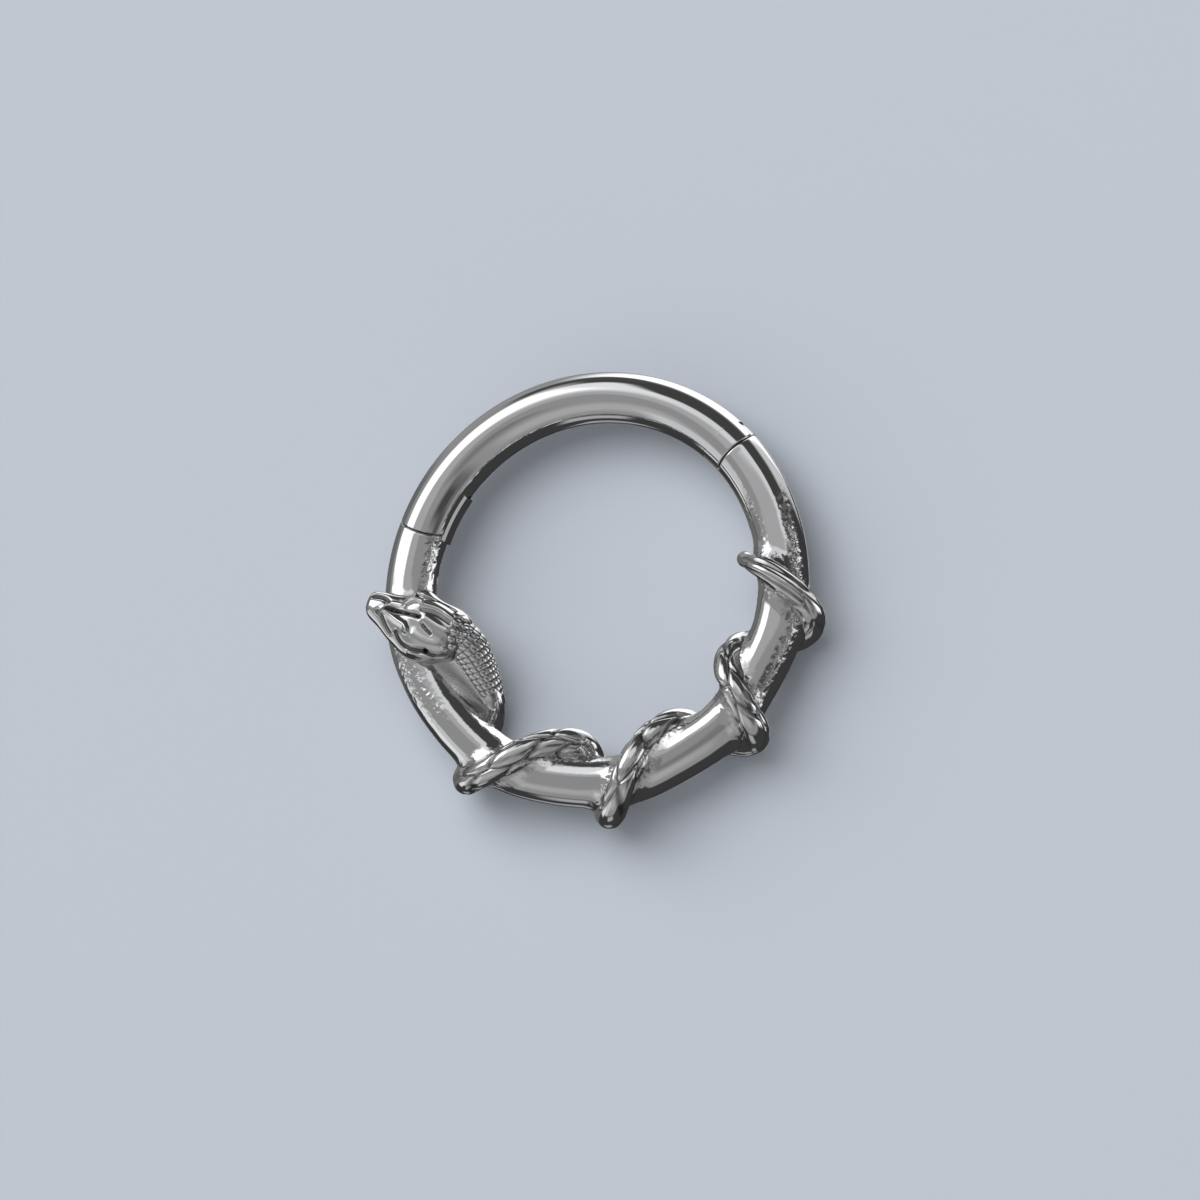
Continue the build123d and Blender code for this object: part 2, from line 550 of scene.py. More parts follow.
@dataclass(frozen=True)
class SteelFinish:
    """One finish of steel: polished metal with fine scratches, and grain where it is as cast."""

    title: str
    colour: tuple[float, float, float]
    # Colour of the painted shade, which the head's even satin also leans towards
    shade_colour: tuple[float, float, float]
    polish: float
    dullness: float
    scratch_depth: float
    grain_depth: float
    grain_size: float = 0.055
    grain_dullness: float = 0.2
    edge_tint: float = 0.8
    # Cloudiness: cells a metre, the colour's share where the cloud is thickest, and the share of
    # the polish that doesn't follow it
    cloud_scale: float = 900.0
    cloud_shade: float = 0.93
    cloud_free: float = 0.5
    # Streaks of the polishing: cells a metre, and how much they are drawn out
    streak_scale: float = 26000.0
    streak_stretch: float = 0.22

    def material(self) -> bpy.types.Material:
        """Builds the node material, or gives the one built before.

        Returns:
            The material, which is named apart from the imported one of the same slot.
        """
        title = f"{self.title}_dressed"
        made = bpy.data.materials.get(title)
        if made is not None:
            return made
        made = bpy.data.materials.new(title)
        desk = NodeDesk(made)
        place = desk.add("ShaderNodeTexCoord").outputs["Object"]
        grain = desk.add("ShaderNodeAttribute", attribute_name="grain").outputs["Fac"]
        shade_and_satin = desk.add("ShaderNodeAttribute", attribute_name="shade_and_satin").outputs["Fac"]
        cloud = desk.add("ShaderNodeTexNoise", in_Scale=self.cloud_scale, in_Detail=3.0)
        desk.join(place, cloud.inputs["Vector"])
        streak_map = desk.add("ShaderNodeMapping", in_Scale=(1.0, 1.0, self.streak_stretch))
        desk.join(place, streak_map.inputs["Vector"])
        streak = desk.add("ShaderNodeTexNoise", in_Scale=self.streak_scale, in_Detail=2.0)
        desk.join(streak_map.outputs["Vector"], streak.inputs["Vector"])
        pit = desk.add("ShaderNodeTexNoise", in_Scale=1 / (self.grain_size * MM), in_Detail=2.0)
        desk.join(place, pit.inputs["Vector"])
        shader = desk.add("ShaderNodeBsdfPrincipled", in_Metallic=1.0)
        shader.inputs["Specular Tint"].default_value = (*[self.edge_tint] * 3, 1)
        self._colour(desk, shader, cloud.outputs["Fac"], shade_and_satin)
        self._roughness(desk, shader, cloud.outputs["Fac"], grain, shade_and_satin)
        self._bump(desk, shader, streak.outputs["Fac"], pit.outputs["Fac"], grain)
        output = desk.add("ShaderNodeOutputMaterial")
        desk.join(shader.outputs["BSDF"], output.inputs["Surface"])
        return made

    def _colour(
        self, desk: NodeDesk, shader: bpy.types.Node, cloud: object, shade_and_satin: object
    ) -> None:
        """Steel that is a little uneven, darkened with painted shade and the head's satin.

        Args:
            desk: the material's nodes.
            shader: the node that takes the colour.
            cloud: socket with the cloudiness.
            shade_and_satin: socket with the painted shade and the head's satin at a point.
        """
        uneven = desk.add("ShaderNodeMix", data_type="RGBA")
        shaded = [self.cloud_shade * part for part in self.colour]
        uneven.inputs["A"].default_value = (*shaded, 1)
        uneven.inputs["B"].default_value = (*self.colour, 1)
        desk.join(cloud, uneven.inputs["Factor"])
        # Painted shade: the colour is mixed towards the shade colour
        darker = desk.add("ShaderNodeMix", data_type="RGBA")
        darker.inputs["B"].default_value = (*self.shade_colour, 1)
        desk.join(uneven.outputs["Result"], darker.inputs["A"])
        desk.join(shade_and_satin, darker.inputs["Factor"])
        desk.join(darker.outputs["Result"], shader.inputs["Base Color"])

    def _roughness(
        self, desk: NodeDesk, shader: bpy.types.Node, cloud: object, grain: object, shade_and_satin: object
    ) -> None:
        """Polish plus a cloudy share, duller where shade is painted and a little on the grain.

        Args:
            desk: the material's nodes.
            shader: the node that takes the roughness.
            cloud: socket with the cloudiness.
            grain: socket that says how grainy a point is.
            shade_and_satin: socket with the painted shade and the head's satin there.
        """
        base = desk.maths("MULTIPLY_ADD", cloud, self.polish)
        base.node.inputs[2].default_value = self.polish * self.cloud_free
        dull = desk.maths("ADD", desk.maths("MULTIPLY", grain, self.grain_dullness), shade_and_satin)
        rough = desk.maths("MULTIPLY", dull, self.dullness)
        desk.join(desk.maths("ADD", base, rough), shader.inputs["Roughness"])

    def _bump(
        self, desk: NodeDesk, shader: bpy.types.Node, streak: object, pit: object, grain: object
    ) -> None:
        """Fine polishing streaks everywhere, and pits where the grain is.

        Args:
            desk: the material's nodes.
            shader: the node that takes the bent normal.
            streak: socket with the streaks' noise.
            pit: socket with the pits' noise.
            grain: socket that says how grainy a point is.
        """
        pits = desk.maths("MULTIPLY", desk.maths("MULTIPLY", pit, grain), self.grain_depth)
        height = desk.maths("ADD", desk.maths("MULTIPLY", streak, self.scratch_depth), pits)
        bump = desk.add("ShaderNodeBump", in_Strength=1.0, in_Distance=MM)
        desk.join(height, bump.inputs["Height"])
        desk.join(bump.outputs["Normal"], shader.inputs["Normal"])


class Finish(Enum):
    """The finishes of the ring's pieces; depths are in mm."""

    # Each finish: colour, colour of painted shade, polish, dullness, depth of scratches, depth of
    # grain
    CAST = SteelFinish(
        "cast_steel", (0.73, 0.73, 0.734), (0.08, 0.079, 0.078), 0.06, 0.20, 0.00008, 0.024
    )
    POLISHED = SteelFinish(
        "polished_steel", (0.75, 0.75, 0.754), (0.24, 0.237, 0.235), 0.05, 0.15, 0.00005, 0.0
    )
    PIN = SteelFinish(
        "pin_steel", (0.72, 0.72, 0.724), (0.22, 0.217, 0.215), 0.06, 0.15, 0.0001, 0.0
    )


@dataclass
class Piece:
    """One closed tube surface and what the finished object needs."""

    name: str
    grid: Array
    body: Body
    finish: Finish
    replaces: str
    closing: Closing = Closing.FLAT
    grain: Array | None = None
    # Painted shade at each point, with the head's even satin
    shade_and_satin: Array | None = None
    sharp_angle: float = 40.0

    def build(self) -> None:
        """Writes the mesh, dresses it and lets it ride on its body."""
        flipped = signed_volume(self.grid) < 0
        grid = self.grid[:, ::-1] if flipped else self.grid
        mesh = bpy.data.meshes.new(self.name)
        corners, starts, vertices = self._faces(grid)
        mesh.vertices.add(len(vertices))
        mesh.vertices.foreach_set("co", (vertices * MM).astype(np.float32).ravel())
        mesh.loops.add(len(corners))
        mesh.loops.foreach_set("vertex_index", corners.astype(np.int32))
        mesh.polygons.add(len(starts))
        mesh.polygons.foreach_set("loop_start", starts.astype(np.int32))
        mesh.update(calc_edges=True)
        mesh.shade_smooth()
        mesh.set_sharp_from_angle(angle=math.radians(self.sharp_angle))
        for title, values in (("grain", self.grain), ("shade_and_satin", self.shade_and_satin)):
            self._mark(mesh, title, values, flipped, len(vertices))
        made = bpy.data.objects.new(self.name, mesh)
        bpy.context.scene.collection.objects.link(made)
        made.data.materials.append(self.finish.value.material())
        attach(made, self.body.value)
        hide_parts(self.replaces)
        LOG.info("%s: %d faces on body %s", self.name, len(starts), self.body.value)

    def _faces(self, grid: Array) -> tuple[Array, Array, Array]:
        """Lists the quads between rows and the faces of the two ends.

        Args:
            grid: points of the tube, shape (rows, columns, 3).

        Returns:
            The vertex at each corner, the first corner of each face, and the vertices.
        """
        rows, columns = grid.shape[:2]
        index = np.arange(rows * columns).reshape(rows, columns)
        beside = np.roll(index, -1, axis=1)
        quads = np.stack([index[:-1], beside[:-1], beside[1:], index[1:]], axis=-1).reshape(-1)
        starts = np.arange(0, len(quads), 4)
        vertices = grid.reshape(-1, 3)
        if self.closing is Closing.FLAT:
            ends = np.concatenate([index[0, ::-1], index[-1]])
            starts = np.append(starts, [len(quads), len(quads) + columns])
        else:
            poles = np.stack([grid[0].mean(axis=0), grid[-1].mean(axis=0)])
            first = np.full(columns, len(vertices))
            near = np.stack([beside[0], index[0], first], axis=-1)
            far = np.stack([index[-1], beside[-1], first + 1], axis=-1)
            ends = np.concatenate([near, far]).reshape(-1)
            starts = np.append(starts, np.arange(len(quads), len(quads) + len(ends), 3))
            vertices = np.concatenate([vertices, poles])
        return np.concatenate([quads, ends]), starts, vertices

    def _mark(
        self, mesh: bpy.types.Mesh, title: str, values: Array | None, flipped: bool, count: int
    ) -> None:
        """Stores how grainy each point is, and its painted shade and satin, for the material.

        Args:
            mesh: the piece's mesh.
            title: name of the attribute.
            values: a value for each point of the grid, or none for zero everywhere.
            flipped: whether the mesh took the grid's columns backwards.
            count: number of vertices, poles included.
        """
        marks = np.zeros(count, np.float32)
        if values is not None:
            flat = (values[:, ::-1] if flipped else values).reshape(-1)
            marks[: len(flat)] = flat
        mesh.attributes.new(title, "FLOAT", "POINT").data.foreach_set("value", marks)


def round_section(radius: float, columns: int) -> Array:
    """Points of a circle, counted from the outside upwards; shape (columns, 2)."""
    turn = np.linspace(0, 2 * math.pi, columns, endpoint=False)
    return radius * np.stack([np.cos(turn), np.sin(turn)], axis=-1)


def slab_section(radius: float, low: float, high: float, columns: int) -> Array:
    """Points of the part of a circle between two heights: two arcs joined by straight chords.

    Args:
        radius: the circle's radius in mm.
        low: height of the lower chord, which is left out at the circle's foot.
        high: height of the upper chord, which is left out at its top.
        columns: number of points for four sides; a side left out takes its points along.

    Returns:
        Points, shape (n, 2).
    """
    start, end = math.asin(max(low / radius, -1)), math.asin(min(high / radius, 1))
    quarter = columns // 4
    outer = np.linspace(start, end, quarter, endpoint=False)
    inner = np.linspace(math.pi - end, math.pi - start, quarter, endpoint=False)
    share = np.linspace(0, 1, quarter, endpoint=False)[:, None]
    corner = [radius * np.array([math.cos(a), math.sin(a)]) for a in (start, end)]
    mirror = [c * np.array([-1.0, 1.0]) for c in corner]
    arcs = [radius * np.stack([np.cos(a), np.sin(a)], axis=-1) for a in (outer, inner)]
    top = corner[1] + (mirror[1] - corner[1]) * share
    bottom = mirror[0] + (corner[0] - mirror[0]) * share
    parts = [arcs[0]]
    if high < radius:
        parts.append(top)
    parts.append(arcs[1])
    if low > -radius:
        parts.append(bottom)
    return np.concatenate(parts)


def box_section(centre: float, height: float, thickness: float, columns: int) -> Array:
    """Points of a rectangle, height across the wire and thickness upwards.

    Args:
        centre: the rectangle's middle across the wire, in mm.
        height: its size across the wire.
        thickness: its size upwards.
        columns: number of points in all, a fourth of them on each side.

    Returns:
        Points, shape (columns, 2).
    """
    side = columns // 4
    share = np.linspace(0, 1, side, endpoint=False)[:, None]
    corners = np.array([[0.5, -0.5], [0.5, 0.5], [-0.5, 0.5], [-0.5, -0.5]])
    corners = corners * [height, thickness] + [centre, 0]
    following = np.roll(corners, -1, axis=0)
    return np.concatenate([a + (b - a) * share for a, b in zip(corners, following)])


@dataclass
class WireRun:
    """A stretch of wire of a given section between two end faces, its end edges rounded over."""

    ring: RingFrame
    section: Array
    start: EndFace
    finish: EndFace
    rows: int
    edge: float = 0.02
    edge_rows: int = 5
    finish_edge: float | None = None

    def spans(self) -> tuple[Array, Array, Array]:
        """Angle round the ring, offset outwards and offset upwards of every point.

        The end edges follow a quarter circle: at a turn q the section is drawn in by
        edge · (1 − sin q) and set back by edge · (1 − cos q) from the end face. Between them the
        angle runs evenly. The last end may have an edge of its own.

        Returns:
            Three arrays, shape (rows, columns).
        """
        tangent = np.roll(self.section, -1, axis=0) - np.roll(self.section, 1, axis=0)
        outward = np.stack([tangent[:, 1], -tangent[:, 0]], axis=-1)
        outward /= np.linalg.norm(outward, axis=-1, keepdims=True)
        turn = np.linspace(0, math.pi / 2, self.edge_rows)
        last_edge = self.edge if self.finish_edge is None else self.finish_edge
        drawn_in, setback = 1 - np.sin(turn), 1 - np.cos(turn)
        middle = self.rows - 2 * self.edge_rows
        inset = [self.edge * drawn_in, np.zeros(middle), last_edge * drawn_in[::-1]]
        inset = np.concatenate(inset)
        shape = self.section[None] - outward[None] * inset[:, None, None]
        across, above = shape[..., 0], shape[..., 1]
        first = self.start.angle(across, above)
        last = self.finish.angle(across, above)
        degrees = np.degrees(1 / (self.ring.ring_radius + across))
        share = np.zeros(self.rows)
        share[self.edge_rows : self.rows - self.edge_rows] = np.linspace(0, 1, middle + 2)[1:-1]
        share[self.rows - self.edge_rows :] = 1
        from_start = np.full(self.rows, self.edge)
        from_start[: self.edge_rows] = self.edge * setback
        from_finish = np.full(self.rows, last_edge)
        from_finish[self.rows - self.edge_rows :] = last_edge * setback[::-1]
        near = first + from_start[:, None] * degrees
        far = last - from_finish[:, None] * degrees
        return near + (far - near) * share[:, None], across, above

    def grid(self) -> Array:
        """The points of the run, shape (rows, columns, 3)."""
        return self.ring.place(*self.spans())


@dataclass
class SnakeLine:
    """The snake's way round the wire, from the tip of its tail to where the neck begins."""

    ring: RingFrame
    snake_radius: float = 0.32
    back_rise: float = 0.08
    lean: float = 0.57
    rows: int = 1040
    tail: tuple[Section, ...] = (
        Section(81.0, 170, 0.89, 0.60),
        Section(83.0, 150, 0.76, 0.72),
        Section(86.5, 115, 0.50, 0.92),
        Section(91.0, 75, 0.38, 1.00),
        Section(95.0, 35, 0.40, 1.00),
        Section(98.5, 0, 0.50, 1.00),
        Section(102.0, -45, 0.38, 1.00),
        Section(105.5, -90, 0.25, 1.00),
        Section(109.0, -135, 0.44, 1.00),
    )
    wraps: tuple[Wrap, ...] = (
        Wrap(113.0, 131.5, 0.60, 0.31, 0.56),
        Wrap(147.0, 174.5, 0.47, 0.38, 0.56),
        Wrap(184.5, 214.5, 0.94, 0.38, 0.62),
    )
    neck_root: tuple[Section, ...] = (
        Section(226.0, 199.5, 1.15, 1.00),
        Section(232.8, 184.7, 1.70, 1.00),
    )

    def __post_init__(self) -> None:
        """Runs a smooth line through the sections and works out its directions."""
        sections = np.array(self._sections())
        away = self.ring.wire_radius + sections[:, 2] * self.snake_radius
        centres = self.ring.beside(sections[:, 0], sections[:, 1], away)
        step = np.linalg.norm(np.diff(centres, axis=0), axis=1)
        knots = np.concatenate([[0], np.cumsum(step)])
        place = np.linspace(0, knots[-1], self.rows)
        self.centre = smooth_through(knots, centres, place)
        self.around = np.interp(place, knots, np.unwrap(sections[:, 1], period=360))
        self.girth = np.interp(place, knots, sections[:, 3]) * self.snake_radius
        moved = np.linalg.norm(np.diff(self.centre, axis=0), axis=1)
        self.length = np.concatenate([[0], np.cumsum(moved)])

    def _sections(self) -> list[Section]:
        """Lists the sections: each wrap has four over the wire's top and four back below it.

        Returns:
            Sections from the tail's tip to the neck.
        """
        rows = list(self.tail)
        following = [(w.inner_at, w.inner_stand) for w in self.wraps[1:]]
        following.append((self.neck_root[0].at, self.neck_root[0].stand))
        back_stand = self.back_rise / self.snake_radius
        for wrap, (next_at, next_stand) in zip(self.wraps, following):
            stands = np.interp(
                np.arange(0, 8) / 4,
                [0, 0.5, 1, 1.5, 2],
                [wrap.inner_stand, wrap.top_stand, wrap.outer_stand, back_stand, next_stand],
            )
            for quarter in range(4):
                share = quarter / 4
                at = wrap.inner_at + (wrap.outer_at - wrap.inner_at) * share**self.lean
                rows.append(Section(at, 180 - 180 * share, stands[quarter], 1.0))
            for quarter in range(4):
                share = quarter / 4
                at = wrap.outer_at + (next_at - wrap.outer_at) * share
                rows.append(Section(at, -180 * share, stands[4 + quarter], 1.0))
        return rows + list(self.neck_root)


def directions_along(centre: Array, away_from: Array) -> tuple[Array, Array]:
    """Two directions square to a line: one away from given points, and one beside it.

    The tangent is the line's gradient; the way out is the offset from the given points less its
    share along the tangent, and the way beside is the cross product of the two.

    Args:
        centre: points of the line, shape (n, 3).
        away_from: a point for each of them, shape (n, 3).

    Returns:
        The two unit directions, shape (n, 3) each.
    """
    tangent = np.gradient(centre, axis=0)
    tangent /= np.linalg.norm(tangent, axis=1, keepdims=True)
    away = centre - away_from
    away -= (away * tangent).sum(1, keepdims=True) * tangent
    away /= np.linalg.norm(away, axis=1, keepdims=True)
    return away, np.cross(tangent, away)


def directions_round(away: Array, beside: Array, turn: Array) -> Array:
    """Directions round a tube, away · cos(turn) + beside · sin(turn); shape (n, m, 3)."""
    return away[:, None] * np.cos(turn)[..., None] + beside[:, None] * np.sin(turn)[..., None]


@dataclass
class Gate:
    """The hinged upper arc: a polished wire, slotted for the tongue and forked for the knuckle."""

    ring: RingFrame
    hinge_at: float = 47.5
    clasp_at: float = -69.0
    clasp_tilt: float = 20.0
    seam_gap: float = 0.025
    hinge_reach: float = 0.31
    pin_depth: float = 0.2
    knuckle_half: float = 0.2
    clearance: float = 0.02
    slot_half: float = 0.225
    slot_floor: float = 0.175
    slot_length: float = 1.18
    # Points along each side of the slot
    slot_points: int = 16
    seam_edge: float = 0.012
    ear_edge: float = 0.03
    ear_rows: int = 48
    columns: int = 160
    rows: int = 420

    def clasp_face(self, clear: float) -> LeaningEnd:
        """The clasp's leaning face, set off by a clearance."""
        return LeaningEnd(self.ring, self.clasp_at, self.clasp_tilt, clear)

    def hinge_face(self, reach: float, side: int) -> RoundedEnd:
        """The hinge's face, round about the pin at a given reach."""
        pin_out = self.ring.wire_radius - self.pin_depth
        return RoundedEnd(self.ring, self.hinge_at, self.hinge_reach, pin_out, reach, side)

    def build(self) -> None:
        """Makes the arc and its two ears."""
        fork_depth = self.hinge_reach + self.pin_depth + self.clearance
        fork = FlatEnd(self.ring, self.hinge_at, -fork_depth)
        start = self.clasp_face(self.seam_gap)
        plain, slotted = (
            WireRun(self.ring, section, start, fork, self.rows, self.seam_edge, finish_edge=FLUSH)
            for section in self._sections()
        )
        whole, cut = plain.spans(), slotted.spans()
        slot_end = self.clasp_at + math.degrees(self.slot_length / self.ring.ring_radius)
        in_slot = (whole[0].mean(axis=1) < slot_end)[:, None]
        grid = self.ring.place(*(np.where(in_slot, new, old) for new, old in zip(cut, whole)))
        Piece("gate_arc", grid, Body.GATE, Finish.POLISHED, "hinged_gate").build()
        reach = self.hinge_reach - self.seam_gap
        inside = self.knuckle_half + self.clearance
        tip = self.hinge_face(reach, 1)
        for name, low, high in (
            ("gate_ear_upper", inside, self.ring.wire_radius),
            ("gate_ear_lower", -self.ring.wire_radius, -inside),
        ):
            section = slab_section(self.ring.wire_radius, low, high, self.columns)
            ear = WireRun(
                self.ring, section, fork, tip, self.ear_rows, FLUSH, finish_edge=self.ear_edge
            )
            Piece(name, ear.grid(), Body.GATE, Finish.POLISHED, "hinged_gate").build()

    def _sections(self) -> tuple[Array, Array]:
        """The wire's section, plain and with the slot, point for point.

        Both share the arc outside the slot. In the slot the plain one goes on round the circle,
        and the other goes in along one wall, over the floor and out along the other wall.

        Returns:
            The two sections, shape (columns, 2) each.
        """
        radius, steps = self.ring.wire_radius, self.slot_points
        mouth = math.asin(self.slot_half / radius)
        in_mouth = 3 * steps - 4
        outer = np.linspace(mouth - math.pi, math.pi - mouth, self.columns - in_mouth)
        inner = np.linspace(math.pi - mouth, math.pi + mouth, in_mouth + 2)[1:-1]
        plain = radius * np.stack([np.cos(outer), np.sin(outer)], axis=-1)
        round_on = radius * np.stack([np.cos(inner), np.sin(inner)], axis=-1)
        lip = -radius * math.cos(mouth)
        wall = np.linspace(lip, self.slot_floor, steps)[1:]
        floor = np.linspace(self.slot_half, -self.slot_half, steps)[1:-1]
        down = np.stack([wall, np.full_like(wall, self.slot_half)], axis=-1)
        under = np.stack([np.full_like(floor, self.slot_floor), floor], axis=-1)
        back = down[::-1] * [1.0, -1.0]
        notch = np.concatenate([down, under, back])
        return np.concatenate([plain, round_on]), np.concatenate([plain, notch])


@dataclass
class HingePin:
    """The hinge's pin, ground off with the wire at both ends."""

    ring: RingFrame
    radius: float = 0.11
    proud: float = -0.001
    columns: int = 48
    # Circles over each end of the pin, and the smallest one's share of its radius
    end_circles: int = 8
    least_circle: float = 0.1

    def build(self) -> None:
        """Makes a round bar whose ends follow the wire's surface, √(r² − across²) high."""
        centre = np.array(self.ring.pin_place)
        shrink = np.linspace(self.least_circle, 1.0, self.end_circles)
        side = np.concatenate([shrink, shrink[::-1]])
        sign = np.concatenate([-np.ones(len(shrink)), np.ones(len(shrink))])
        circle = round_section(self.radius, self.columns)
        flat = centre + circle[None] * side[:, None, None]
        across = np.linalg.norm(flat, axis=-1) - self.ring.ring_radius
        height = np.sqrt(self.ring.wire_radius**2 - across**2) + self.proud
        above = self.ring.mid_height + sign[:, None] * height
        grid = np.concatenate([flat, above[..., None]], axis=-1)
        Piece("hinge_pin_bar", grid, Body.GATE, Finish.PIN, "hinge_pin", Closing.POLE).build()


@dataclass
class CastArc:
    """The cast lower arc: the grained wire, the knuckle at the hinge and the clasp's tongue."""

    ring: RingFrame
    gate: Gate
    neighbours: list[tuple[Array, Array]]
    fillet_reach: float = 0.36
    uneven: float = 0.005
    grain_height: float = 0.030
    # Share of a band's grain that its patches leave
    grain_share: float = 0.75
    # Stretch in degrees over which unevenness and grain die away towards the wire's two ends
    end_ease: float = 2.5
    grain_ends: tuple[float, float] = (0.2, 1.5)
    # Reach and strength of the grain, and of the painted shade, that lie beside the coils
    beside_reach: float = 0.3
    beside_strength: float = 0.4
    shade_reach: float = 0.12
    shade_strength: float = 0.5
    # The stretch below the head, and how uneven the wire is outside it and how much more in it
    rough_begin: tuple[float, float] = (222.0, 230.0)
    rough_end: tuple[float, float] = (258.0, 264.0)
    calm_gain: float = 0.5
    rough_gain: float = 0.9
    # The flat that polishing leaves on the front: its depth as a share of the radius, how keen
    # its edges are, its direction, its least cosine, and the room it keeps from the coils
    facet_depth: float = 0.026
    facet_waves: float = 0.3
    facet_softness: float = 60.0
    facet_turn: float = 78.0
    facet_least: float = 0.2
    facet_room: float = 0.35
    grain_layers: tuple[NoiseLayer, ...] = (NoiseLayer(0.065, 1.0, 3), NoiseLayer(0.11, 0.5, 4))
    wave_layers: tuple[NoiseLayer, ...] = (NoiseLayer(0.55, 1.0, 5), NoiseLayer(0.26, 0.4, 6))
    patch_layer: NoiseLayer = NoiseLayer(0.5, 0.5, 7)
    # Grain on the outer flank, the inner one, a seam in front, the underside, the left flank
    # and the front below the head
    grain_bands: tuple[GrainBand, ...] = (
        GrainBand(40, 13, (62, 70), (124, 136), 1.0),
        GrainBand(146, 17, (268, 284), None, 1.0),
        GrainBand(112, 5, (52, 56), (80, 86), 0.3),
        GrainBand(225, 70, (60, 70), None, 0.4),
        GrainBand(58, 12, (228, 236), (252, 260), 0.7),
        GrainBand(86, 20, (224, 230), (240, 252), 0.45),
    )
    rows: int = 660
    columns: int = 128
    wire_edge: float = 0.05
    knuckle_rows: int = 60
    knuckle_edge: float = 0.012
    tongue_height: float = 0.8
    tongue_thickness: float = 0.4
    tongue_proud: float = 0.05
    tongue_root: float = 0.2
    tongue_length: float = 1.15
    tongue_rows: int = 90
    tongue_columns: int = 96
    tongue_edge: float = 0.03
    drifts: tuple[Drift, ...] = (
        Drift(47.5, 0.0),
        Drift(85.0, 0.0),
        Drift(105.0, 0.02),
        Drift(121.0, -0.03),
        Drift(133.0, 0.03),
        Drift(150.0, -0.05),
        Drift(168.0, 0.02),
        Drift(190.0, -0.03),
        Drift(208.0, 0.03),
        Drift(228.0, -0.03),
        Drift(250.0, 0.0),
        Drift(291.0, 0.0),
    )

    def build(self) -> None:
        """Makes the wire, the knuckle and the tongue."""
        self._wire()
        self._knuckle()
        self._tongue()

    def _wire(self) -> None:
        """Makes the wire: a round run, polished flat in front, with fillets, waves and grain.

        The front is a chord at 1 − depth of the radius that cuts the circle off. Of the two radii
        a and b the lesser is taken, eased as −log(e^(−k·a) + e^(−k·b)) / k.
        """
        start = self.gate.hinge_face(self.gate.hinge_reach, 1)
        finish = LeaningEnd(self.ring, 360 + self.gate.clasp_at, self.gate.clasp_tilt)
        section = round_section(self.ring.wire_radius, self.columns)
        run = WireRun(self.ring, section, start, finish, self.rows, self.wire_edge)
        at, across, above = run.spans()
        base = self.ring.place(at, across, above)
        gap = np.min([clearance(base, line, radius) for line, radius in self.neighbours], axis=0)
        around = np.arctan2(above, across)
        length = np.radians(at) * self.ring.ring_radius
        girth = 2 * math.pi * self.ring.wire_radius
        across_way = around * self.ring.wire_radius
        patch = layered_noise(length, across_way, girth, (self.patch_layer,))
        grain = self._grain_mask(at, np.degrees(around), gap, patch)
        inner = level(at - at.min(), 0, self.end_ease) * level(at.max() - at, 0, self.end_ease)
        bumps = layered_noise(length, across_way, girth, self.grain_layers)
        waves = layered_noise(length, across_way, girth, self.wave_layers)
        rough = level(at, *self.rough_begin) * (1 - level(at, *self.rough_end))
        waves *= self.calm_gain + self.rough_gain * rough
        rise = fillet(gap, self.fillet_reach)
        rise += inner * (self.uneven * waves + self.grain_height * grain * bumps)
        drift = smooth_through(
            np.array([d.at for d in self.drifts]), np.array([d.out for d in self.drifts]), at[:, 0]
        )
        room = np.clip(gap / self.facet_room, 0, 1)
        flat = 1 - self.facet_depth * (1 + self.facet_waves * waves) * inner * room
        facing = np.maximum(np.cos(around - math.radians(self.facet_turn)), self.facet_least)
        keen = self.facet_softness
        eased = -np.log(np.exp(-keen) + np.exp(-keen * flat / facing)) / keen
        scale = eased + rise / self.ring.wire_radius
        grid = self.ring.place(at, across * scale + drift[:, None] * inner, above * scale)
        # Painted shade on the wire in the corner against the coils
        shade = np.clip(1 - np.abs(gap) / self.shade_reach, 0, 1)
        Piece(
            "cast_wire", grid, Body.CASTING, Finish.CAST, "serpent_arc",
            grain=grain, shade_and_satin=shade * self.shade_strength, sharp_angle=60,
        ).build()

    def _grain_mask(self, at: Array, around: Array, gap: Array, patch: Array) -> Array:
        """How grainy the wire is: on its flanks and beside the coils, not on the polished front.

        A band is its strength · e^(−(turn / half width)²) between its two ends, the strongest band
        at a point counts, and what lies beside the coils is added.

        Args:
            at: angle round the ring in degrees.
            around: angle round the wire in degrees.
            gap: distance to the coils in mm.
            patch: noise that makes the bands patchy, times its share.

        Returns:
            The grain from 0 to 1, with the shape of at.
        """
        turn = np.mod(around, 360)
        bands = np.zeros_like(at)
        for band in self.grain_bands:
            form = np.exp(-(((turn - band.around) / band.half_width) ** 2)) * level(at, *band.begin)
            if band.end is not None:
                form = form * (1 - level(at, *band.end))
            bands = np.maximum(bands, band.strength * form)
        beside = np.clip(1 - np.maximum(gap, 0) / self.beside_reach, 0, 1)
        mask = bands * (self.grain_share + patch) + self.beside_strength * beside
        return np.clip(mask, 0, 1) * level(at.max() - at, *self.grain_ends)

    def _knuckle(self) -> None:
        """The middle slab of the casting's end, round about the pin, between the gate's ears."""
        half = self.gate.knuckle_half
        section = slab_section(self.ring.wire_radius, -half, half, self.columns)
        nose = self.gate.hinge_face(self.gate.pin_depth, -1)
        seam = self.gate.hinge_face(self.gate.hinge_reach, 1)
        run = WireRun(self.ring, section, nose, seam, self.knuckle_rows, self.knuckle_edge)
        Piece("hinge_knuckle", run.grid(), Body.CASTING, Finish.CAST, "serpent_arc").build()

